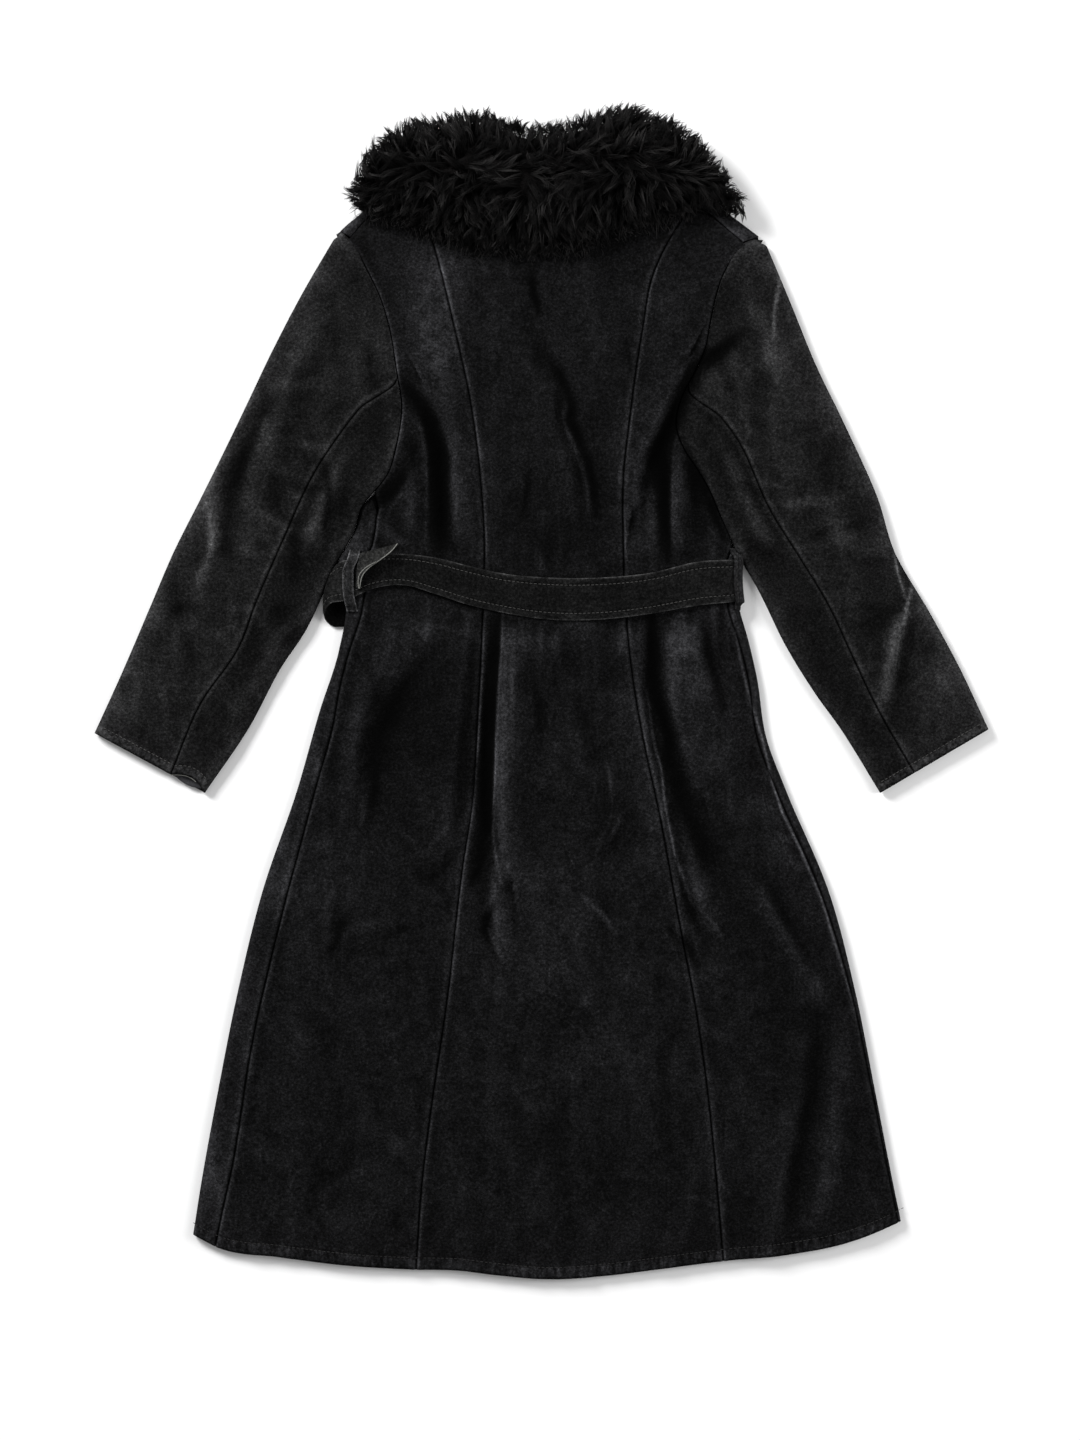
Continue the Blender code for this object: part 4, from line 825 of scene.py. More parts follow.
def sheet(node, outer, way, wall, finish, nap_and_shade=None, keep=(1, 1), edge=0.0, hem=None, name=None):
    """Cloth of this thickness in place of a node, from its outer face's grid and the way out at each point.

    Its inner face keeps only every so many of the outer one's rows and columns.
    """
    rows, columns, _ = outer.shape
    kept_rows, kept_columns = thinned(rows, keep[0]), thinned(columns, keep[1])
    count, across = rows * columns, len(kept_columns)
    inner = (outer - wall * way)[np.ix_(kept_rows, kept_columns)]
    faces = grid_faces(rows, columns)
    faces += [tuple(count + i for i in reversed(face)) for face in grid_faces(len(kept_rows), across)]
    for at, inner_row in ((0, 0), (rows - 1, len(kept_rows) - 1)):
        for number, (a, b) in enumerate(zip(kept_columns, kept_columns[1:])):
            low = count + inner_row * across + number
            side = [at * columns + c for c in range(a, b + 1)] + [low + 1, low]
            faces.append(tuple(side[::-1] if at == 0 else side))
    for at, inner_column in ((0, 0), (columns - 1, across - 1)):
        for number, (a, b) in enumerate(zip(kept_rows, kept_rows[1:])):
            low = count + number * across + inner_column
            side = [r * columns + at for r in range(a, b + 1)] + [low + across, low]
            faces.append(tuple(side if at == 0 else side[::-1]))
    if np.sum(grid_normals(outer) * way) < 0:
        faces = [face[::-1] for face in faces]
    nap_and_shade = nap_and_fold_shade(outer[..., 0], outer[..., 1]) if nap_and_shade is None else nap_and_shade
    # The first tone holds wear together with painted light: crests rubbed paler, painted shade in hollows, and
    # the edge term, which is painted highlights and sheen on the coat's cloth and pale worn edges on the belt
    # and its loops. A wall's inner face is darker.
    shades = {"wear_and_painted_light": (wear_and_hollow_shade(outer) + edge, INNER_DARKENING), "nap_and_shade": (nap_and_shade, 0.0)}
    if hem is not None:
        shades["hem"] = (hem, 0.0)
    tones = {
        attribute: np.concatenate([face.ravel(), np.full(len(kept_rows) * across, inside)])
        for attribute, (face, inside) in shades.items()
    }
    points = np.concatenate([outer.reshape(-1, 3), inner.reshape(-1, 3)])
    declare(piece(name or "coat_" + node, points, faces, finish, [node], tones), outer)


def body_rows():
    """Shares of the way up a panel: close together at the hem, then even."""
    hem = np.arange(0, HEM_ROWS_REACH, HEM_ROW_STEP)
    rest = np.linspace(HEM_ROWS_REACH, BODY_LENGTH, int((BODY_LENGTH - HEM_ROWS_REACH) / ROW_STEP))
    return np.concatenate([hem, rest]) / BODY_LENGTH


def seam_to_seam(count):
    """Shares of the way across a panel: close together beside both its seams."""
    edge = np.array(SEAM_COLUMNS)
    inner = np.linspace(edge[-1] + 0.012, 1 - edge[-1] - 0.012, count)
    return np.concatenate([edge, inner, 1 - edge[::-1]])


def side_seam(out, y):
    return smooth(OUTLINE[out], y) - out * np.clip(smooth(STRIP[out], y), 0, None)


def back_panel(name, left, right, across, finish):
    x, y = patch(left, right, hem_edge, back_edge, across, body_rows())
    left_away, right_away = x - left(y), right(y) - x
    lump = lattice_noise(x * 0.2, y, 9, 10)
    height = coat_face(x, y, inset_from_outline(x, y))
    height = height + seam_roll(left_away, lump, 0.8) + seam_roll(right_away, lump, 0.8)
    # A painted highlight beside each seam, stronger on the seam's right, and a painted sheen along the hem's
    # folded edge.
    uneven = 1 + 0.8 * lattice_noise(x * 0, y, 26, 25)
    away = y - hem_edge(x)
    edge = (0.85 * seam_highlight(left_away) + 0.2 * seam_highlight(right_away)) * uneven + 0.3 * bell(away, 2.0)
    outer = np.dstack([x, y, height])
    sheet(
        name, outer, upright(outer), WALL, finish,
        keep=(4, 4), edge=edge, hem=hem_band(away, HEM_STITCH),
    )


def build_back(finish):
    """The centre back and the two side backs, each half a seam's gap clear of the next."""
    half = SEAM_GAP / 2
    seams = (
        lambda y: side_seam(-1, y), lambda y: smooth(PRINCESS_LEFT, y),
        lambda y: smooth(PRINCESS_RIGHT, y), lambda y: side_seam(1, y),
    )
    for name, first, count in (
        ("back_centre", 1, CENTRE_COUNT),
        ("back_side_left", 0, SIDE_COUNT),
        ("back_side_right", 2, SIDE_COUNT),
    ):
        left, right = seams[first], seams[first + 1]
        back_panel(name, lambda y: left(y) + half, lambda y: right(y) - half, seam_to_seam(count), finish)


def front_floor_height(x, y, laps_over):
    """The outer, lower face of a front: on the floor but for the belt and the other front under it."""
    lap = LAP_RISE * ease(-LAP_HALF - 20, -LAP_HALF - 5, x) if laps_over else 0
    raised = 1.5 * np.clip(lattice_noise(x, y * 0.45, 34, 11), 0, 1)
    raised = raised + 0.8 * np.clip(lattice_noise(x, y * 0.6, 15, 12), 0, 1)
    raised = raised * (1 - ease(2, 16, under_belt(x, y) / BELT_RISE * 16))
    raised = raised * ease(0, 30, inset_from_outline(x, y))
    return under_belt(x, y) + lap + raised


def front_top_edge(x, out):
    """The front's upper edge in plan: the shoulder's fold, then the neckline down to the lap."""
    v_slope = (back_edge(out * NECK_POINT) - V_POINT) / (NECK_POINT + LAP_HALF)
    neckline = V_POINT + v_slope * (out * x + LAP_HALF)
    return np.where(out * x > NECK_POINT, shoulder_fold(x), neckline)


def front_floor(out, top, up, laps_over):
    """A front's grid of points on the floor, from its side's folded edge to past the middle."""
    def side(y):
        return smooth(OUTLINE[out], y) - out * FOLD_LOW

    def lap_start(y):
        return np.full(np.shape(y), out * LAP_COLUMNS[0])[()]

    across = np.concatenate([(0, 0.008, 0.02, 0.04), np.linspace(0.065, 1, FLOOR_COUNT)])
    if out < 0:
        x, y = patch(side, lap_start, hem_edge, top, across, up)
    else:
        x, y = patch(lap_start, side, hem_edge, top, 1 - across[::-1], up)
        x, y = x[:, ::-1], y[:, ::-1]
    lap_x = out * np.array(LAP_COLUMNS[1:], float)[None, :]
    lap_y = hem_edge(lap_x) + (top(lap_x) - hem_edge(lap_x)) * up[:, None]
    x = np.hstack([x, np.repeat(lap_x, len(up), axis=0)])
    y = np.hstack([y, lap_y])
    return np.dstack([x, y, front_floor_height(x, y, laps_over)])


def upper_angle(inset, share):
    """The way out on a folded edge's upper side, this far inside the edge: straight up at the seam."""
    angle = np.arccos(np.clip(1 - inset / FOLD_TOP, 0, 1))
    return np.full(angle.shape, np.pi / 2) if share == 1 else angle


def lower_rise(share):
    """How far up a folded edge's lower side is, as a share of the edge's height."""
    return 1 - np.sqrt(1 - (1 - share) ** 2)


def side_band(out, floor, top, up):
    """The band round a front's side: from the seam on top, over the folded edge, down to the floor."""
    def edge(y):
        return smooth(OUTLINE[out], y)

    def rows_of(line, rim):
        low, high = meeting_height(line, hem_edge), meeting_height(line, rim)
        heights = low + (high - low) * up
        return np.stack([line(heights), heights], axis=-1)

    seam = rows_of(lambda y: side_seam(out, y) + out * SEAM_GAP / 2, back_edge)
    end = seam_end(seam[:, 0])
    seam[:, 0] += out * SIDE_GAP * ease(end - 12, end, seam[:, 1])
    seam[:, 0] = out * np.minimum(out * seam[:, 0], out * edge(seam[:, 1]))
    fold = rows_of(edge, top)
    foot, ground = floor[:, 0, :2], floor[:, 0, 2]
    shares = (*BAND_TOP, *BAND_LOW)
    wraps = 1 - ease(seam_end(fold[:, 0]) - 4, seam_end(fold[:, 0]) + 24, fold[:, 1])  # 0 at the armhole
    least = 0.4 - 0.36 * ease(445, 470, fold[:, 1:])
    band, ways = [], []
    for number, share in enumerate(shares):
        if number < len(BAND_TOP):
            plan = fold + (seam - fold) * share
            inset = np.abs(plan[:, 0] - fold[:, 0])
            height = coat_face(plan[:, 0], plan[:, 1], inset)
            middle = height = height + seam_roll(np.abs(plan[:, 0] - seam[:, 0]), 0, 0.6)
            angle = upper_angle(inset, share)
        else:
            plan = fold + (foot - fold) * share
            height = ground + (middle - ground) * lower_rise(share)
            angle = np.full(height.shape, -np.arccos(1 - share))
        flat = fold + (foot - fold) * (least + (1 - least) * number / len(shares))
        plan = flat + (plan - flat) * wraps[:, None]
        angle = (angle + np.pi / 2) * wraps - np.pi / 2
        band.append(np.column_stack([plan, ground + (height - ground) * wraps]))
        ways.append(np.column_stack([out * np.cos(angle), np.zeros(angle.shape), np.sin(angle)]))
    return np.stack(band, axis=1), np.stack(ways, axis=1)


def shoulder_band(out, last):
    """The band over the shoulder: on from a front's last row, up over the fold, back to the shoulder seam."""
    x, _, ground = last.T
    top = front_top_edge(x, out)
    shoulder = ease(NECK_POINT - 4, NECK_POINT + 8, out * x)
    fold_tip, seam_tip = SHOULDER_TIPS[out]
    pull = (seam_tip - NECK_POINT) / (fold_tip - NECK_POINT)
    seam_x = np.where(out * x > NECK_POINT, out * NECK_POINT + (x - out * NECK_POINT) * pull, x)
    seam_y = back_edge(seam_x) + NECK_GAP - (NECK_GAP - SHOULDER_GAP) * ease(140, 200, out * seam_x)
    edge_height = body_top(x, top)
    steps = [(share, False) for share in (*reversed(BAND_LOW), 0)]
    steps += [(share, True) for share in BAND_TOP[-2::-1]]
    band, ways = [], []
    for number, (share, above) in enumerate(steps, 1):
        if above:
            plan_x = x + (seam_x - x) * share
            plan_y = top + (seam_y - top) * share
            height = coat_face(plan_x, plan_y, top - plan_y)
            angle = upper_angle(top - plan_y, share)
        else:
            plan_x = x
            plan_y = top - FOLD_LOW * share
            height = edge_height * lower_rise(share)
            angle = np.full(x.shape, -np.arccos(1 - share))
        flat_y = top - FOLD_LOW * (1 - number / len(steps))
        plan_x = x + (plan_x - x) * shoulder
        plan_y = flat_y + (plan_y - flat_y) * shoulder
        angle = (angle + np.pi / 2) * shoulder - np.pi / 2
        band.append(np.column_stack([plan_x, plan_y, ground + (height - ground) * shoulder]))
        ways.append(np.column_stack([np.zeros(x.shape), np.cos(angle), np.sin(angle)]))
    return np.stack(band), np.stack(ways)


def build_front(out, laps_over, finish):
    """One front: a strip over the back's side, the folded edge, then flat on the floor to the lap."""
    def top(x):
        return front_top_edge(x, out) - FOLD_LOW

    up = body_rows()
    floor = front_floor(out, top, up, laps_over)
    band, band_way = side_band(out, floor, top, up)
    grid = np.concatenate([band, floor], axis=1)
    way = np.concatenate([band_way, -upright(floor)], axis=1)
    band, band_way = shoulder_band(out, grid[-1])
    grid, way = np.concatenate([grid, band]), np.concatenate([way, band_way])
    x, y, facing = grid[..., 0], grid[..., 1], way[..., 2]
    sheet(
        "front_" + SIDES[out], grid, way, WALL, finish,
        nap_and_shade=nap_and_fold_shade(x, y) * (facing > -0.5), keep=(3, 1),
        # A painted sheen on the rounded folded edge, where the cloth turns down to the floor.
        edge=0.5 * bell(facing, 0.45, 0.25) * (1 + 0.6 * lattice_noise(x, y, 25, 26)),
        hem=hem_band(y - hem_edge(x), HEM_STITCH),
    )


def sleeve_points(out, section, shares, station):
    """Points across a section: on the armhole's own curve at first, and straight past ARMHOLE_REACH."""
    outer, inner = np.array(section[0:2]), np.array(section[2:4])
    line = outer[:, None] + (inner - outer)[:, None] * shares
    hole = np.array([smooth(OUTLINE[out], line[1]), line[1]])
    reach = ARMHOLE_REACH * (0.08 + 0.92 * ease(0, 0.35, shares))
    return hole + (line - hole) * ease(0, reach, station)


def sleeve_path(width, start, end, upper):
    """(share across, height as a share of the upper face's, angle of the way out) round one folded edge."""
    near, sign, top_count, low_count = (0.0, 1, 38, 12) if upper else (1.0, -1, 20, 5)
    top_end, low_end = FOLD_TOP / width, FOLD_LOW / width
    turn = np.pi / 2
    reach = near + sign * top_end - start
    steps = 3 + (top_count - 3) * np.linspace(0, 1, top_count)
    steps = np.concatenate([(0, 0.3, 0.7, 1.1, 1.6, 2.1, 2.6), steps]) / top_count
    path = [(start + reach * t, 1.0, turn) for t in steps]
    for share in (0.7, 0.45, 0.22, 0.08, 0):
        angle = np.arccos(1 - share)
        path.append((near + sign * top_end * share, 0.5 + 0.5 * np.sin(angle), angle))
    for share in BAND_LOW:
        angle = np.arccos(1 - share)
        path.append((near + sign * low_end * share, 0.5 - 0.5 * np.sin(angle), -angle))
    foot = near + sign * low_end
    path += [(foot + (end - foot) * t, 0.0, -turn) for t in np.linspace(0, 1, low_count)]
    return np.transpose(path)


def sleeve_face(x, y, station, away, seam_away):
    """The outer face of a sleeve's upper layer: this far down from the armhole, and beside its back seam."""
    cuff_away = away[-1] - away
    detail = cloth_detail(x, y)
    own = SLEEVE_HEIGHT + relief(x, y) + detail * (0.35 + 0.65 * ease(0, 22, cuff_away))
    body = body_top(x, y) + detail
    lump = lattice_noise(x * 0.3, y, 9, 14)
    height = body + (own - body) * ease(0.0, 0.12, station)
    height = height + seam_roll(away, lump, 0.9) + seam_roll(seam_away, lump, 0.7)
    return height + stitched_edge(cuff_away, (x + y), CUFF_STITCH)


def build_sleeve(out, part, finish):
    """The upper sleeve round the outer edge, or the under sleeve round the inner one."""
    upper = part == "upper"
    gape = CUFF_GAPE if out < 0 and not upper else 0
    tuck_height, tuck_reach = SLEEVE_TUCK[out]
    middle = np.linspace(0.02, 0.958, SLEEVE_STEPS)
    stations = np.concatenate([STATIONS_ARMHOLE, middle, 1 - np.array(STATIONS_CUFF)])
    plan, levels, angles, acrosses, seam_away = [], [], [], [], []
    for station in stations:
        section = table_row(SLEEVE[out], station)
        across = np.array(section[2:4]) - section[0:2]
        width = np.hypot(*across)
        across = across / width
        seam, half = section[4], SEAM_GAP / 2 / width * (1 if upper else -1)
        shares, level, angle = sleeve_path(width, seam - half, UNDER_SEAM - half, upper)
        x, y = sleeve_points(out, section, shares, station)
        x = out * np.maximum(out * x, out * smooth(OUTLINE[out], y) + (0.05 + 0.3 * ease(0, 0.06, station)))
        if gape:
            bow = np.sin(np.pi * np.clip((shares - seam) / (1 - seam), 0, 1)) * (level > 0.5)
            lift = gape * bow * ease(0.86, 1.0, station)
            x, y = x + out * across[1] * lift, y - out * across[0] * lift
        tuck = tuck_height * ease(0, tuck_reach, shares) * (1 - ease(0.06, 0.16, shares))
        plan.append(np.column_stack([x, y + tuck * (1 - ease(0, 0.022, station))]))
        levels.append(level)
        angles.append(angle)
        acrosses.append(np.broadcast_to(across, (len(shares), 2)))
        seam_away.append(np.abs(shares - seam) * width + 40 * (level < 1))
    plan, levels, angles, seam_away = np.array(plan), np.array(levels), np.array(angles), np.array(seam_away)
    x, y = plan[..., 0], plan[..., 1]
    away = running(np.hypot(*np.diff(plan[:, plan.shape[1] // 3], axis=0).T))
    away = np.broadcast_to(away[:, None], x.shape)
    top = sleeve_face(x, y, stations[:, None], away, seam_away)
    low = 1.1 * np.clip(lattice_noise(x, y * 0.5, 26, 15), 0, 1)
    low = low * (levels == 0) * ease(0, 25, away[-1] - away)
    outer = np.dstack([x, y, levels * top + low])
    sideways = np.array(acrosses) * np.cos(angles)[..., None] * (-1 if upper else 1)
    hem = hem_band(away[-1] - away, CUFF_STITCH)
    # A painted sheen on the rounded folded edges and a painted highlight beside the back seam; darker just
    # below the armhole, and lighter in the cuff's hem band.
    edge = 0.45 * bell(levels, 0.3, 0.75) * (1 + 0.6 * lattice_noise(x, y, 25, 27))
    edge = edge + 0.4 * seam_highlight(seam_away) - 0.35 * bell(away, 7.0) * (levels == 1)
    edge = edge + 0.2 * hem * (levels == 1)
    sheet(
        f"sleeve_{part}_{SIDES[out]}", outer, np.dstack([sideways, np.sin(angles)]), WALL, finish,
        nap_and_shade=nap_and_fold_shade(x, y) * (levels > 0) - (0 if upper else 0.35), keep=(3, 1), edge=edge, hem=hem,
    )
    return outer


def build_cuff_lining(finish, mouth, edge_finish):
    """The lining's edge in the left cuff's mouth, on the sleeve's lower layer."""
    grid = []
    for station in np.linspace(0.93, 0.997, 14):
        section = table_row(SLEEVE_LEFT, station)
        x, y = sleeve_points(-1, section, np.linspace(0.70, 0.955, 40), station)
        down = np.array([section[3] - section[1], section[0] - section[2]])
        bow = 3.5 * np.sin(np.pi * np.linspace(0, 1, 40)) * ease(0.96, 0.997, station) / np.hypot(*down)
        x, y = x + down[0] * bow, y + down[1] * bow
        ripple = 0.35 * lattice_noise(x, y, 9, 16) + 0.5 * ease(0.985, 0.997, station)
        grid.append(np.column_stack([x, y, WALL + 1.1 + LINING_WALL + ripple]))
    outer = np.array(grid)
    sheet(
        "cuff_lining_left", outer, upright(outer), LINING_WALL, finish,
        name="coat_cuff_lining",
    )
    piece("coat_cuff_lining_edge", *tube(mouth, 0.55, 7, 23), edge_finish, ["cuff_lining_left"])


def belt_level(x):
    """The belt's outer face over the back: just clear of the cloth under it."""
    x = np.atleast_1d(x)
    heights = np.linspace(0, 1, 7)[:, None]
    y = smooth(BELT_BOTTOM, x) * heights + smooth(BELT_TOP, x) * (1 - heights)
    cloth = REST_HEIGHT + LAP_BACK_RISE + BELT_RISE + relief(np.broadcast_to(x, y.shape), y).max(axis=0)
    return float(cloth[0]) + BELT_CLEAR + BELT_WALL


def belt_shares():
    """Shares of the way across the belt: close together at its edges and at its two stitched lines."""
    line = BELT_STITCH / BELT_WIDTH
    half = np.array((
        0, 0.01, 0.028, 0.055, 0.09, 0.125, line - 0.018, line - 0.008, line, line + 0.008, line + 0.02,
        0.22, 0.27, 0.33, 0.39, 0.45,
    ))
    return np.concatenate([half, [0.5], 1 - half[::-1]])


def belt_row(upper, lower, bulge=0.0):
    """One row of points across the belt, between its upper and its lower edge."""
    upper, lower = np.array(upper, float), np.array(lower, float)
    share = belt_shares()[:, None]
    return upper + (lower - upper) * share + np.array((-4 * bulge, 0, 0)) * share * (1 - share)


def under_rows(start, end):
    """The belt's part under the fronts."""
    for x in np.linspace(start, end, 16):
        middle = straight(BELT_UNDER, x)
        yield belt_row((x, middle + BELT_WIDTH / 2, 0), (x, middle - BELT_WIDTH / 2, 0))


def loose_turn():
    """The belt's turn at the left, which leans out lower down."""
    top, middle = belt_level(BELT_LEFT), straight(BELT_UNDER, BELT_LEFT)
    for angle in np.radians(np.linspace(*TURN_ANGLES, 24)):
        lean = (1 + np.sin(angle)) / 2
        ends = []
        for (x, reach, y_on_top), y_under in ((TURN_UPPER, BELT_WIDTH / 2), (TURN_LOWER, -BELT_WIDTH / 2)):
            y = (middle + y_under) * (1 - lean) + y_on_top * lean
            ends.append((x - reach * np.cos(angle), y, top * lean))
        yield belt_row(*ends, TURN_BULGE * np.cos(angle))


def tight_turn():
    """The belt's turn at the right, close round the coat's edge."""
    top = belt_level(BELT_RIGHT - 12)
    for angle in np.radians(np.linspace(*TURN_ANGLES[::-1], 24)):
        ends = []
        for table in (BELT_TOP, BELT_BOTTOM):
            y = float(smooth(table, BELT_RIGHT))
            edge = float(smooth(OUTLINE_RIGHT, y)) + BELT_WALL + 1.6
            ends.append((edge - 9.0 * (1 - np.cos(angle)), y, top * (1 + np.sin(angle)) / 2))
        yield belt_row(*ends)


def over_rows():
    """The belt's part over the back."""
    for x in np.linspace(BELT_LEFT + 2, BELT_RIGHT - 12, 200):
        level = belt_level(x)
        yield belt_row((x, smooth(BELT_TOP, x), level), (x, smooth(BELT_BOTTOM, x), level))


def build_belt(finish):
    """The belt, from under the fronts' middle round the left side, over the back and under again."""
    grid = np.array([
        *under_rows(-BELT_ENDS, -196), *loose_turn(), *over_rows(),
        *tight_turn(), *under_rows(188, BELT_ENDS),
    ])
    normals = grid_normals(grid)
    way = normals * np.sign(normals[len(grid) // 2, grid.shape[1] // 2, 2])
    edge = np.minimum(belt_shares(), 1 - belt_shares()) * BELT_WIDTH
    along = running(np.linalg.norm(np.diff(grid[:, 16], axis=0), axis=1))
    along = np.broadcast_to(along[:, None], grid.shape[:2])
    puff = 0.5 * lattice_noise(along, edge * 2, 17, 17) + 0.35 * lattice_noise(along, edge * 3, 7, 18)
    dent = 0.55 * bell(edge, 1.1, BELT_STITCH) * (1 + 0.4 * lattice_noise(along, edge, 4, 19))
    dent = dent + 0.9 * bell(edge, 1.3)
    over = ease(0.3, 0.8, way[..., 2])
    outer = grid + way * ((puff * 0.6 - dent) * (0.3 + 0.7 * over))[..., None]
    sheet(
        "belt", outer, way, BELT_WALL, finish,
        nap_and_shade=0.25 * lattice_noise(along, edge * 2, 24, 29), keep=(3, 1),
        edge=2.4 * bell(edge, 1.2) * (1 + 0.5 * lattice_noise(along, edge, 9, 28)),
    )
    return outer


def build_turned_edge(finish, raw_finish):
    """The belt's upper edge, turned over to its paler back beside the left loop, and its two raw edges."""
    base = belt_level(-180.0) + 0.4 + LOOP_WALL
    across = np.linspace(0, 1, 26)
    grid = []
    for share in np.linspace(0, 1, 44):
        near_x, near_y, far_x, far_y, stand = table_row(TURNED_EDGE, share)
        x = near_x + (far_x - near_x) * across
        y = near_y + (far_y - near_y) * across
        grid.append(np.column_stack([x, y, base + stand * across**1.5 + 0.35 * lattice_noise(x, y, 9, 20)]))
    outer = np.array(grid)
    sheet("belt_turned_edge", outer, upright(outer), LOOP_WALL, finish)
    lower = outer[20:, -1] + np.array((-0.3, 0.2, 0.7))
    lower[:, 0] -= 3.0 * np.sin(np.pi * np.linspace(0, 1, len(lower))) ** 0.7
    lips = joined([tube(outer[:, -1] + np.array((0.2, -0.2, 0)), 0.5, 7, 21), tube(lower, 0.45, 7, 22)])
    piece("coat_belt_raw_edge", *lips, raw_finish, ["belt_turned_edge"])


def tube(line, half, sides, seed):
    """A closed, slightly uneven tube round a line: its points and faces."""
    line = np.asarray(line, float)
    ahead = np.gradient(line, axis=0)
    ahead /= np.linalg.norm(ahead, axis=1)[:, None]
    side = np.cross(ahead, (0, 0, 1))
    side /= np.linalg.norm(side, axis=1)[:, None]
    over = np.cross(side, ahead)
    rng = np.random.default_rng(seed)
    rings = []
    for angle in np.arange(sides) * 2 * np.pi / sides:
        radius = half * rng.uniform(0.8, 1.15, len(line))
        rings.append(line + (np.cos(angle) * side + np.sin(angle) * over) * radius[:, None])
    faces = grid_faces(len(line), sides, closed=True)
    last = (len(line) - 1) * sides
    faces += [tuple(range(sides)), tuple(reversed(range(last, last + sides)))]
    return np.stack(rings, axis=1).reshape(-1, 3), faces


def joined(parts):
    """Several (points, faces) as one."""
    points, faces, count = [], [], 0
    for part_points, part_faces in parts:
        points.append(part_points)
        faces += [tuple(i + count for i in face) for face in part_faces]
        count += len(part_points)
    return np.concatenate(points), faces


def arch_steps(count):
    """The loop's arch, resampled: (share along it, share of the way up)."""
    steps = np.linspace(0, 1, count)
    return zip(steps, ease(0, 1, straight(LOOP_ARCH, steps)))


def loop_dents(along, width, length):
    """The grooves of a loop's stitches: down both its sides and across its lower end."""
    side = np.minimum(LOOP_SHARES, 1 - LOOP_SHARES) * width
    foot = (1 - along) * length
    dent = 0.5 * bell(side, 0.7, 2.4) + 0.5 * bell(foot, 1.1, LOOP_FOOT_STITCH)
    return dent + 0.7 * bell(side, 0.8) + 0.6 * bell(foot, 1.0)


def upward_normals(grid):
    """The way out of a grid of points, turned as one to face up."""
    normals = grid_normals(grid)
    return normals * np.sign(normals[..., 2].sum())


def build_left_loop(finish):
    """The left loop, flat on the belt with its ends down on the coat."""
    edge_x, width, upper_y, length, lean = LOOP_LEFT
    grid, dents = [], []
    for along, up in arch_steps(72):
        x = edge_x + width * LOOP_SHARES + lean * along + float(smooth(LOOP_BOW, along))
        y = np.full(x.shape, upper_y - length * along)
        cloth = body_top(x + 5, y) + LOOP_ENDS_CLEAR + LOOP_WALL
        over = np.array([belt_level(at) for at in x]) + LOOP_CLEAR + LOOP_WALL
        grid.append(np.column_stack([x, y, cloth + (over - cloth) * up]))
        dents.append(loop_dents(along, width, length) - 0.3 * lattice_noise(x, y, 11, 24))
    grid = np.array(grid)
    outer = grid - np.array((0, 0, 1)) * np.array(dents)[..., None]
    foot = length * (1 - np.linspace(0, 1, len(outer)))[:, None]
    edge = 2.8 * bell(np.minimum(LOOP_SHARES, 1 - LOOP_SHARES) * width, 1.1) + 2.4 * bell(foot, 1.2)
    edge = edge + 1.3 * bell(foot, 1.0, LOOP_FOOT_STITCH) + 1.8 * bell(length - foot, 1.4, 5.0)
    way = upward_normals(grid)
    sheet("belt_loop_left", outer, way, LOOP_WALL, finish, nap_and_shade=edge * 0, edge=edge)
    return outer


def build_right_loop(finish):
    """The right loop, round the belt's turn at the coat's edge."""
    upper_y, length = LOOP_RIGHT
    half_height = belt_level(195.5) / 2
    angle = np.radians(68 - 64 * LOOP_SHARES)
    grid, dents = [], []
    for along, up in arch_steps(64):
        y = upper_y - length * along
        x = float(smooth(OUTLINE_RIGHT, y)) - 8.0 + (9.4 + 5.8 * up) * np.cos(angle)
        z = half_height + (half_height + 0.1 + 3.0 * up) * np.sin(angle)
        grid.append(np.column_stack([x, np.full(angle.shape, y), z]))
        dents.append(loop_dents(along, 9.0, length))
    grid = np.array(grid)
    way = upward_normals(grid)
    outer = grid - way * np.array(dents)[..., None]
    edge = 2.4 * bell((1 - LOOP_SHARES) * 9, 3.5) + np.zeros(outer.shape[:2])
    sheet("belt_loop_right", outer, way, LOOP_WALL, finish, nap_and_shade=edge * 0, edge=edge)
    return outer


def pile_height(x, y):
    """The fur's upper surface over the collar's plan."""
    low, high = smooth(COLLAR_FALL, x), smooth(COLLAR_TOP, x)
    height = straight(COLLAR_PILE, np.clip((y - low) / np.maximum(high - low, 1), 0, 1))
    first, last = COLLAR_ENDS
    size = np.sqrt(np.clip(1 - np.abs(2 * (x - first) / (last - first) - 1) ** 5, 0, 1))
    over = np.clip(height - COLLAR_END, 0, None) * (0.25 + 0.75 * size)
    return np.minimum(height, COLLAR_END) + over


def fur_floor(x, y):
    """What the fur lies on: the coat, or past its upper edge the floor."""
    shoulder = np.where(np.abs(x) > NECK_POINT, shoulder_fold(x), 0)
    body_edge = np.maximum(back_edge(x), shoulder)
    return np.where(y < body_edge - 1, body_top(x, np.minimum(y, body_edge - 1)), 0.0)


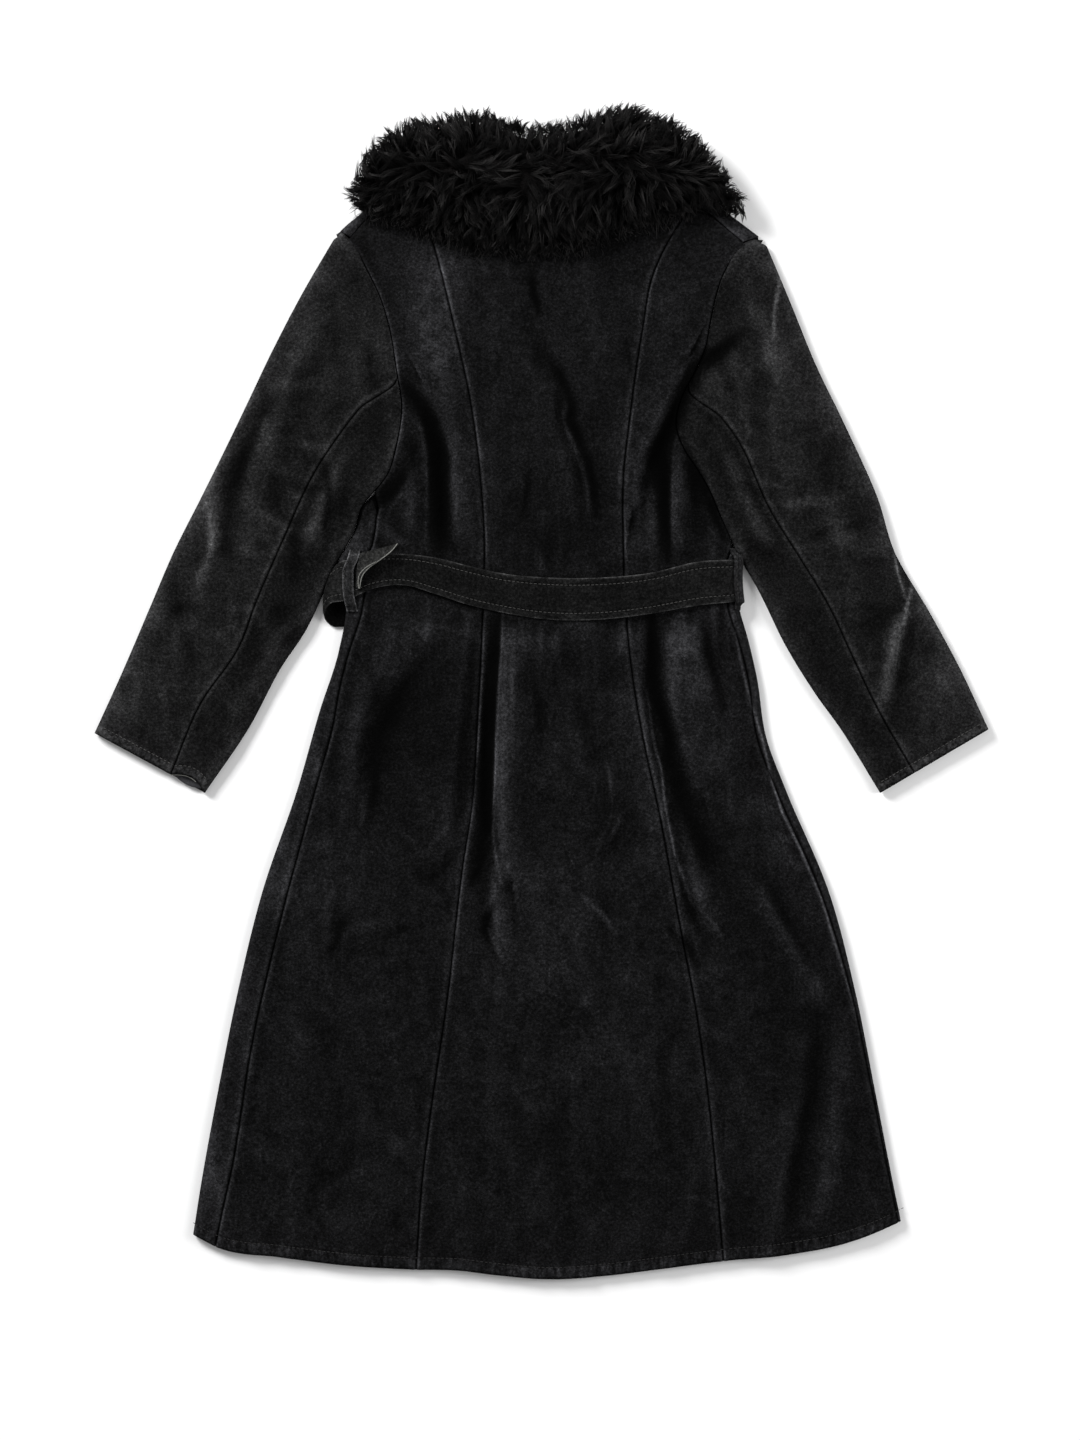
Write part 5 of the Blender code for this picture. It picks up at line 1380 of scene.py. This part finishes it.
def build_collar_core(finish):
    """The dense underfur and its backing, inside the pile's outline."""
    first, last = COLLAR_ENDS[0] + CORE_INSET, COLLAR_ENDS[1] - CORE_INSET
    columns, rows = 150, 44
    upper, lower = [], []
    shares = 0.5 - 0.5 * np.cos(np.linspace(0, np.pi, rows))
    for x in np.linspace(first, last, columns):
        end = min(x - first, last - x)
        rounding = 14 * math.exp(-end / 12)
        low = float(smooth(COLLAR_FALL, x)) + 2 * CORE_INSET - rounding * 0.8
        high = float(smooth(COLLAR_TOP, x)) - CORE_INSET - rounding
        y = low + (high - low) * shares
        across = np.full(y.shape, x)
        rim = np.sqrt(np.clip(1 - (2 * shares - 1) ** 8, 0, 1)) * min(1, math.sqrt(end / 14 + 0.02))
        under = fur_floor(across, y) + 1.2
        tuft = 2.4 * lattice_noise(x, y, 11, 31) + 1.6 * lattice_noise(x, y, 6, 32)
        top = np.maximum(pile_height(x, y) - CORE_DEPTH + tuft * rim, under + 2)
        upper.append(np.column_stack([across, y, under + 1 + (top - under - 1) * rim]))
        lower.append(np.column_stack([across, y, under]))
    grid = np.concatenate([np.array(upper), np.array(lower)[:, ::-1]], axis=1)
    faces = [face[::-1] for face in grid_faces(columns, 2 * rows, closed=True)]
    faces += [tuple(range(2 * rows)), tuple(reversed(range((columns - 1) * 2 * rows, columns * 2 * rows)))]
    piece("coat_collar_underfur", grid.reshape(-1, 3), faces, finish, ["collar"])


def lock_roots(rng):
    """Where the locks stand: evenly scattered over the collar."""
    first, last = COLLAR_ENDS
    roots = np.empty((0, 2))
    while len(roots) < LOCKS:
        trial = np.column_stack([rng.uniform(first + 7, last - 7, 60), rng.uniform(455, 620, 60)])
        for x, y in trial:
            if not float(smooth(COLLAR_FALL, x)) + 14 < y < float(smooth(COLLAR_TOP, x)) - 7:
                continue
            near = np.hypot(*(roots - (x, y)).T).min() if len(roots) else 99
            if near > 3.1 or rng.uniform() < 0.02:
                roots = np.vstack([roots, (x, y)])
    return roots[:LOCKS]


def turned(way_x, way_y, turn):
    """Directions in plan, each turned by its own angle."""
    cos, sin = np.cos(turn), np.sin(turn)
    return np.column_stack([way_x * cos - way_y * sin, way_x * sin + way_y * cos])


def lock_directions(roots, rng):
    """Which way each lock lies: away from the parting line, outwards at the ends, and swirled."""
    x, y = roots.T
    past = y - smooth(PARTING, x)
    fan = np.clip(x / 200, -1, 1)
    lie_x = np.sign(fan) * np.abs(fan) ** 3 * 1.5 + 0.25 * fan
    lie_y = np.tanh(past / 5) * (0.95 + 0.1 * np.abs(fan))
    turn = 0.8 * lattice_noise(x, y, 34, 33) + 0.6 * lattice_noise(x, y, 15, 34) + rng.normal(0, 0.3, len(x))
    lie = turned(lie_x, lie_y, turn * (1 + 1.3 * bell(past, 16)))
    return lie / np.linalg.norm(lie, axis=1)[:, None]


def edge_locks(rng):
    """Locks a little inside the pile's outline that lie straight out across it."""
    ring = np.array((*COLLAR_TOP, *COLLAR_FALL[::-1], COLLAR_TOP[0]), float)
    away = running(np.hypot(*np.diff(ring, axis=0).T))
    at = (np.arange(EDGE_LOCKS) + rng.uniform(-0.4, 0.4, EDGE_LOCKS)) * away[-1] / EDGE_LOCKS % away[-1]
    point, ahead = (np.column_stack([np.interp(at + on, away, column) for column in ring.T]) for on in (0, 6))
    ahead = ahead - point
    out = np.column_stack([-ahead[:, 1], ahead[:, 0]])
    out /= np.linalg.norm(out, axis=1)[:, None] + 1e-9
    lie = turned(*out.T, rng.normal(0, 0.38, EDGE_LOCKS))
    return point - out * rng.uniform(7, 18, EDGE_LOCKS)[:, None], lie


def fall_reach(x, loose):
    """How low the locks lie: the dense ones end above the fall's edge, and loose hairs reach past them."""
    dense = 8 + 7 * bell(x, 34, -155) + 3 * lattice_noise(x, x * 0, 17, 37)
    return smooth(COLLAR_FALL, np.clip(x, *COLLAR_ENDS)) + dense * np.where(loose, 0.75, 1.0)


def fitted_lengths(roots, lie, length, margin, loose):
    """The locks' lengths, cut so that each tip just clears the pile's outline, by its own margin."""
    first, last = COLLAR_ENDS
    for _ in range(6):
        x, y = (roots + lie * (length * 0.92)[:, None]).T
        high = y - smooth(COLLAR_TOP, np.clip(x, first, last))
        over = np.maximum.reduce([high, fall_reach(x, loose) - y, x - last, first - x]) - margin
        length = np.where(over > 0, np.maximum(length - over * 0.9, 9), length)
    return length


def build_fur(finish):
    """Curled locks of closed, tapered strands, in four meshes."""
    rng = np.random.default_rng(40)
    roots = lock_roots(rng)
    lie = lock_directions(roots, rng)
    edge_roots, edge_lie = edge_locks(rng)
    roots, lie = np.vstack([roots, edge_roots]), np.vstack([lie, edge_lie])
    count = len(roots)
    inner = np.arange(count) < LOCKS
    length = rng.uniform(*LOCK_LENGTH, count) * np.where(inner, 1.0, 0.7)
    curl = rng.normal(0, 1, count)
    curl = np.sign(curl) * np.clip(np.abs(curl), 0.35, 1.5)
    # Each lock's share of painted glint at its tips, raised for the loose hairs over the coat, and how high it
    # lifts.
    glint_share, lift = rng.uniform(0, 1, count), rng.uniform(0, 1, count)
    margin = rng.uniform(-2, 9, count) + np.where(inner, 0.0, 3.0)
    loose = ~inner & (roots[:, 1] < 512) & (np.abs(roots[:, 0]) < 190)
    glint_share = np.where(loose, 0.62 + 0.38 * glint_share, glint_share)
    length = fitted_lengths(roots, lie, length, margin, loose)

    # Each lock's strands: spread round its root, drawn together towards its tip, and curled
    strands = count * STRANDS
    lock = np.repeat(np.arange(count), STRANDS)
    inner, loose, lift = inner[lock], loose[lock], lift[lock][:, None]
    t = np.linspace(0, 1, STRAND_STEPS + 1)[None, :]
    spread = rng.normal(0, 1, (strands, 2)) * np.where(loose, 5.5, np.where(inner, 2.3, 2.6))[:, None]
    own_curl = (curl[lock] + rng.normal(0, 0.22, strands) * np.where(loose, 5.0, 1.0))[:, None]
    own_length = (length[lock] * rng.uniform(0.72, 1.08, strands))[:, None]
    phase = rng.uniform(-0.5, 0.5, strands)[:, None]
    clump = 1 - np.where(loose, 0.25, np.where(inner, 0.8, 0.95))[:, None] * t**0.9
    wave = own_curl * (3.2 * np.sin(np.pi * (1.25 * t + 0.15 * phase)) * t) * (own_length / 36)
    hook = 1 - 0.22 * np.abs(own_curl) * t**2
    plan = roots[lock][:, None] + spread[:, None] * clump[..., None]
    plan = plan + lie[lock][:, None] * (own_length * t * hook)[..., None]
    plan = plan + np.column_stack([-lie[:, 1], lie[:, 0]])[lock][:, None] * wave[..., None]
    x, y = plan[..., 0], plan[..., 1]

    # Their heights: up out of the underfur, over, and down again towards the tip
    floor = fur_floor(x, y)
    root_top = pile_height(roots[:, 0], roots[:, 1])[lock]
    start = np.maximum(root_top - CORE_DEPTH - 3, floor[:, 0] + 1)[:, None]
    target = np.minimum(pile_height(np.clip(x, *COLLAR_ENDS), y), root_top[:, None] + 4)
    rise = np.sin(np.pi * np.clip(t * 0.62 + 0.08, 0, 1)) * (5.5 + 5.5 * lift)
    z = start * (1 - t**2) + (target - CORE_DEPTH + 1.5 + 5 * lift) * t**2 + rise
    z = z + rng.normal(0, 0.8, strands)[:, None] * t
    line = np.stack([x, y, np.clip(z, floor + 1.2, FUR_TOP)], axis=-1)

    ahead = np.gradient(line, axis=1)
    ahead /= np.linalg.norm(ahead, axis=-1)[..., None] + 1e-9
    side = np.cross(ahead, (0.0, 0.0, 1.0))
    side /= np.linalg.norm(side, axis=-1)[..., None] + 1e-9
    over = np.cross(side, ahead)
    thickness = rng.uniform(0.7, 1.25, strands) * np.where(inner | loose, 1.0, 1.6)
    width = STRAND_HALF_WIDTH * thickness[:, None] * (1 - t**1.6 * 0.94)
    rings = [
        line + (side * math.cos(angle) + over * math.sin(angle)) * width[..., None]
        for angle in (0.5, 2.6, 4.7)
    ]
    grid = np.stack(rings, axis=2)  # strand, step, side
    own_glint_share = np.clip(glint_share[lock] + rng.normal(0, 0.12, strands), 0, 1)
    tones = {
        "along": np.broadcast_to(t[..., None], grid.shape[:3]),
        "glint_share": np.broadcast_to(own_glint_share[:, None, None], grid.shape[:3]),
    }
    quads = grid_faces(STRAND_STEPS + 1, 3, closed=True)
    caps = [(2, 1, 0), tuple(STRAND_STEPS * 3 + corner for corner in range(3))]
    for number, part in enumerate(np.array_split(np.arange(strands), 4), 1):
        starts = np.arange(len(part))[:, None, None] * 3 * (STRAND_STEPS + 1)
        faces = [
            (np.array(shape)[None] + starts).reshape(-1, len(shape[0])).tolist() for shape in (quads, caps)
        ]
        values = {name: value[part].ravel() for name, value in tones.items()}
        points = grid[part].reshape(-1, 3)
        piece(f"coat_collar_fur_{number}", points, faces[0] + faces[1], finish, ["collar"], values)


def stitch_shape():
    """One stitch: a short spindle, (points along, across, up) and its faces."""
    points, faces = [(-0.5, 0, 0)], []
    for along, half in ((-0.38, 0.75), (0, 1.0), (0.38, 0.75)):
        for angle in np.arange(5) * 2 * np.pi / 5:
            points.append((along, math.cos(angle) * half, math.sin(angle) * half))
    points.append((0.5, 0, 0))
    for k in range(5):
        after = (k + 1) % 5
        faces.append((0, 1 + after, 1 + k))
        faces += [(1 + ring + k, 1 + ring + after, 6 + ring + after, 6 + ring + k) for ring in (0, 5)]
        faces.append((16, 11 + k, 11 + after))
    return np.array(points, float), faces


def stitch_row(line):
    """Stitches along a line of points on the cloth."""
    line = np.asarray(line, float)
    away = running(np.linalg.norm(np.diff(line, axis=0), axis=1))
    count = max(int(away[-1] / STITCH_STEP), 1)
    shape, faces = stitch_shape()
    for middle in (np.arange(count) + 0.5) * away[-1] / count:
        start, end = (
            np.array([np.interp(middle + step, away, column) for column in line.T])
            for step in (-STITCH_LENGTH / 2, STITCH_LENGTH / 2)
        )
        ahead = end - start
        side = np.cross(ahead, (0, 0, 1.0))
        side = side / (np.linalg.norm(side) + 1e-9) * THREAD
        over = np.cross(side, ahead)
        over = over / (np.linalg.norm(over) + 1e-9) * THREAD
        yield (start + end) / 2 + shape[:, :1] * ahead + shape[:, 1:2] * side + shape[:, 2:] * over, faces


def build_stitches(name, lines, finish, nodes):
    piece(name, *joined([stitch for line in lines for stitch in stitch_row(line)]), finish, nodes)


def hem_line():
    x = np.arange(OUTLINE_LEFT[0][1] + 8.0, OUTLINE_RIGHT[0][1] - 8.0, 1.5)
    y = hem_edge(x) + HEM_STITCH
    return np.column_stack([x, y, coat_face(x, y, inset_from_outline(x, y)) + 0.15])


def column_lines(outer, columns, first, last):
    """Lines just over a face's columns, between two of its rows."""
    return [outer[first:last, column] + np.array((0, 0, 0.25)) for column in columns]


class Shader:
    """A node material, built a step at a time."""

    def __init__(self, name, roughness, specular, sheen):
        self.material = bpy.data.materials.new(name)
        self.material.use_nodes = True
        self.nodes = self.material.node_tree.nodes
        self.surface = self.nodes["Principled BSDF"]
        self.fill(self.surface, {
            "Roughness": roughness, "Specular IOR Level": specular, "Sheen Weight": sheen,
        })
        self.place = self.nodes.new("ShaderNodeTexCoord").outputs["Object"]

    def fill(self, node, inputs):
        """Sets or links a node's inputs."""
        for key, value in inputs.items():
            if isinstance(value, bpy.types.NodeSocket):
                self.material.node_tree.links.new(value, node.inputs[key])
            else:
                node.inputs[key].default_value = value

    def node(self, kind, inputs, output=0, **settings):
        node = self.nodes.new("ShaderNode" + kind)
        for key, value in settings.items():
            setattr(node, key, value)
        self.fill(node, inputs)
        return node.outputs[output]

    def math(self, operation, *values, clamp=False):
        return self.node("Math", dict(enumerate(values)), operation=operation, use_clamp=clamp)

    def attribute(self, name):
        return self.node("Attribute", {}, "Fac", attribute_name=name)

    def noise(self, size, detail=2.0, roughness=0.5, stretch=(1, 1, 1), turn=0.0, warp=0.0):
        """Noise from -1 to 1 with features of this size in millimetres."""
        place = self.node("Mapping", {
            "Scale": stretch, "Rotation": (0, 0, math.radians(turn)), "Vector": self.place,
        })
        noise = self.node("TexNoise", {
            "Scale": 1 / (size * METRES), "Detail": detail, "Roughness": roughness, "Distortion": warp,
            "Vector": place,
        })
        return self.math("MULTIPLY_ADD", noise, 4.0, -2.0)

    def sum(self, *terms):
        """The sum of (weight, value) pairs."""
        total = 0.0
        for weight, value in terms:
            total = self.math("MULTIPLY_ADD", value, weight, total)
        return total

    def paint(self, dark, light, share, factor=1.0):
        """The surface's colour, between two, times a factor."""
        colours = {"Factor": share, "A": (*dark, 1), "B": (*light, 1)}
        colour = self.node("Mix", colours, "Result", data_type="RGBA")
        colour = self.node("VectorMath", {0: colour, "Scale": factor}, operation="SCALE")
        self.fill(self.surface, {"Base Color": colour})

    def bump(self, *layers):
        """Relief in the shading, from (height in millimetres, value) pairs."""
        normal = {}
        for height, value in layers:
            normal = {"Normal": self.node("Bump", {"Distance": height * METRES, "Height": value, **normal})}
        self.fill(self.surface, normal)


def suede(name, dark, light, strength=1.0, ripples=(1, 0.2, 1)):
    """Napped cloth: light where it is brushed or worn and where highlights are painted, with painted shade in
    its recesses and creases, and a fine grain.
    """
    shader = Shader(name, roughness=0.95, specular=0.03, sheen=0.0)
    broad = shader.noise(75, 3, 0.55, warp=0.6)
    middle = shader.noise(19, 4, 0.6, (1, 0.7, 1), warp=0.4)
    small = shader.noise(6, 4, 0.7)
    grain = shader.noise(2.6, 3, 0.8)
    streaks = shader.noise(9, 3, 0.6, (1.0, 0.16, 1), 4)
    # Painted creases: a thin line of painted highlight on each crest with painted shade in the hollow beside
    # it, in patches.
    crease = shader.noise(66, 2, 0.5, (1, 0.75, 1), 24, warp=0.5)
    creased = shader.math("MULTIPLY_ADD", shader.noise(90, 1), 1.5, 0.25, clamp=True)
    crest_highlight = shader.math("MULTIPLY_ADD", shader.math("ABSOLUTE", crease), -20.0, 1.0, clamp=True)
    hollow_shade = shader.math("ABSOLUTE", shader.math("ADD", crease, 0.09))
    hollow_shade = shader.math("MULTIPLY_ADD", hollow_shade, -13.0, 1.0, clamp=True)
    crease = shader.math("MULTIPLY", creased, shader.sum((0.9, crest_highlight), (-0.8, hollow_shade)))
    ripple = shader.math("MULTIPLY", shader.attribute("hem"), shader.noise(4.2, 1, 0.5, ripples))
    patchy = shader.math("ADD", shader.sum((0.28, middle), (0.25, small)), 1.0)
    # The brushed nap, with the painted shade and highlights of the folds laid on it.
    brushed_and_shaded = shader.math("MULTIPLY", shader.attribute("nap_and_shade"), patchy)
    # The tone: brushed nap with painted fold light, wear with painted highlights, sheen and hollow shade, the
    # noises and grain, the painted creases and the hem's ripples.
    tone = shader.sum(
        (1.25 * strength, brushed_and_shaded), (1.1 * strength, shader.attribute("wear_and_painted_light")), (0.36, broad), (0.28, middle),
        (0.38, small), (1.5, grain), (0.12, streaks), (0.4, crease), (0.9, ripple),
    )
    share = shader.math("MULTIPLY_ADD", tone, 0.35, 0.4, clamp=True)
    shader.paint(dark, light, share, shader.math("POWER", 2.0, tone))
    shader.bump((0.22, grain), (0.35, small), (0.45, middle))
    return shader.material


def plain_cloth(name, dark, light, size, height):
    shader = Shader(name, roughness=0.9, specular=0.15, sheen=0.05)
    broad, fine = shader.noise(22, 3), shader.noise(size, 2)
    share = shader.math("ADD", shader.sum((0.3, broad), (0.3, fine)), 0.5, clamp=True)
    shader.paint(dark, light, share)
    shader.bump((height, fine))
    return shader.material


def fur_hair():
    """Black hair, darker towards the roots, with paler tips on some of the locks painted as glints of the
    hair's shine.
    """
    shader = Shader("fur", roughness=0.5, specular=0.04, sheen=0.0)
    along = shader.attribute("along")
    share = shader.math("MULTIPLY", along, shader.math("POWER", shader.attribute("glint_share"), 3.5))
    share = shader.math("MULTIPLY_ADD", shader.noise(26, 2), 0.08, share, clamp=True)
    factor = shader.math("MULTIPLY_ADD", along, 0.8, 0.5)
    shader.paint((0.0022, 0.0021, 0.0021), (0.0370, 0.0354, 0.0350), share, factor)
    return shader.material


def fur_core():
    shader = Shader("fur_core", roughness=1.0, specular=0.04, sheen=0.0)
    fine = shader.noise(2.5, 3, 0.6)
    share = shader.math("MULTIPLY_ADD", fine, 0.3, 0.4, clamp=True)
    shader.paint((0.0020, 0.0018, 0.0018), (0.007, 0.0062, 0.0062), share)
    shader.bump((1.2, fine))
    return shader.material


def build_floor():
    shader = Shader("floor", roughness=0.9, specular=0.1, sheen=0.0)
    share = shader.math("MULTIPLY_ADD", shader.noise(400, 2), 0.25, 0.5, clamp=True)
    shader.paint((0.84, 0.84, 0.845), (0.86, 0.86, 0.86), share)
    points = [(-6000, -6000, -0.3), (6000, -6000, -0.3), (6000, 6000, -0.3), (-6000, 6000, -0.3)]
    new_mesh("floor", points, [(0, 1, 2, 3)], shader.material)


def area_light(name, place, size, power):
    """A soft rectangular light, aimed at the coat's middle."""
    light = bpy.data.lights.new(name, "AREA")
    light.shape = "RECTANGLE"
    light.size, light.size_y = size
    light.energy = power
    obj = bpy.data.objects.new(name, light)
    obj.location = place
    obj.rotation_euler = (-obj.location).to_track_quat("-Z", "Y").to_euler()
    bpy.context.scene.collection.objects.link(obj)


def build_light():
    world = bpy.data.worlds.new("studio")
    world.use_nodes = True
    sky = world.node_tree.nodes["Background"].inputs
    sky["Color"].default_value = (1, 1, 1, 1)
    sky["Strength"].default_value = SKY_STRENGTH
    bpy.context.scene.world = world
    area_light("key", (-2.6, 2.6, 2.2), (1.5, 1.5), 260)
    area_light("fill", (3.0, 0.4, 2.0), (1.4, 2.2), 80)
    bpy.context.scene.view_settings.view_transform = "Standard"


def build_camera():
    """Straight above the coat, as the photograph was taken."""
    camera = bpy.data.cameras.new("camera")
    camera.lens = LENS
    camera.sensor_width = SENSOR
    camera.sensor_fit = "AUTO"
    obj = bpy.data.objects.new("camera", camera)
    height = PHOTO_LENGTH * METRES * LENS / SENSOR + PHOTO_LEVEL * METRES
    obj.location = (*(side * METRES for side in PHOTO_MIDDLE), height)
    bpy.context.scene.collection.objects.link(obj)
    bpy.context.scene.camera = obj


def main():
    body = (suede("suede_body", (0.00312, 0.00312, 0.00318), (0.0065, 0.0065, 0.0070)), "suede_body")
    sleeve = suede("suede_sleeve", (0.0044, 0.0044, 0.0044), (0.0084, 0.0084, 0.0086), ripples=(1, 1, 1))
    sleeves = (sleeve, "suede_sleeve")
    belt = (suede("suede_belt", (0.0031, 0.0031, 0.0031), (0.0062, 0.0062, 0.0062)), "suede_belt")
    loops = (suede("suede_loop", (0.0074, 0.0074, 0.0077), (0.0148, 0.0148, 0.0154), 0.7), "suede_belt")
    reverse = (suede("reverse", (0.0102, 0.0102, 0.0099), (0.0204, 0.0204, 0.0198), 0.6), "reverse")
    raw = plain_cloth("raw_edge", (0.08, 0.081, 0.074), (0.22, 0.22, 0.205), 1.6, 0.2)
    lining = (plain_cloth("lining", (0.014, 0.014, 0.016), (0.05, 0.05, 0.054), 1.5, 0.1), "lining")
    thread = plain_cloth("thread", (0.040, 0.040, 0.039), (0.085, 0.083, 0.080), 2.5, 0.1)
    dark_thread = plain_cloth("hem_thread", (0.014, 0.014, 0.014), (0.034, 0.033, 0.032), 2.5, 0.1)

    build_back(body)
    build_front(-1, True, body)
    build_front(1, False, body)
    faces = {(out, part): build_sleeve(out, part, sleeves) for out in (-1, 1) for part in ("upper", "under")}
    mouth = faces[-1, "under"][-1, 1:22] + np.array((-0.2, -0.5, -1.2))
    build_cuff_lining(lining, mouth, (raw, "lining"))
    belt_face = build_belt(belt)
    build_turned_edge(reverse, (raw, "reverse"))
    loop_faces = [build_left_loop(loops), build_right_loop(loops)]
    build_collar_core((fur_core(), "fur"))
    build_fur((fur_hair(), "fur"))

    back = ["back_centre", "back_side_left", "back_side_right"]
    build_stitches("coat_hem_stitches", [hem_line()], (dark_thread, "suede_body"), back)
    lines = [face[-7, :CUFF_STITCHED[part]] + np.array((0, 0, 0.2)) for (_, part), face in faces.items()]
    uppers = ["sleeve_upper_left", "sleeve_upper_right"]
    build_stitches("coat_cuff_stitches", lines, (thread, "suede_sleeve"), uppers)
    lines = column_lines(belt_face, (8, -9), 17, -17)
    build_stitches("coat_belt_stitches", lines, (thread, "suede_belt"), ["belt"])
    lines = [line for face in loop_faces for line in column_lines(face, (4, -5), 8, -6)]
    both_loops = ["belt_loop_left", "belt_loop_right"]
    build_stitches("coat_loop_stitches", lines, (dark_thread, "suede_belt"), both_loops)

    build_floor()
    build_light()
    build_camera()


main()
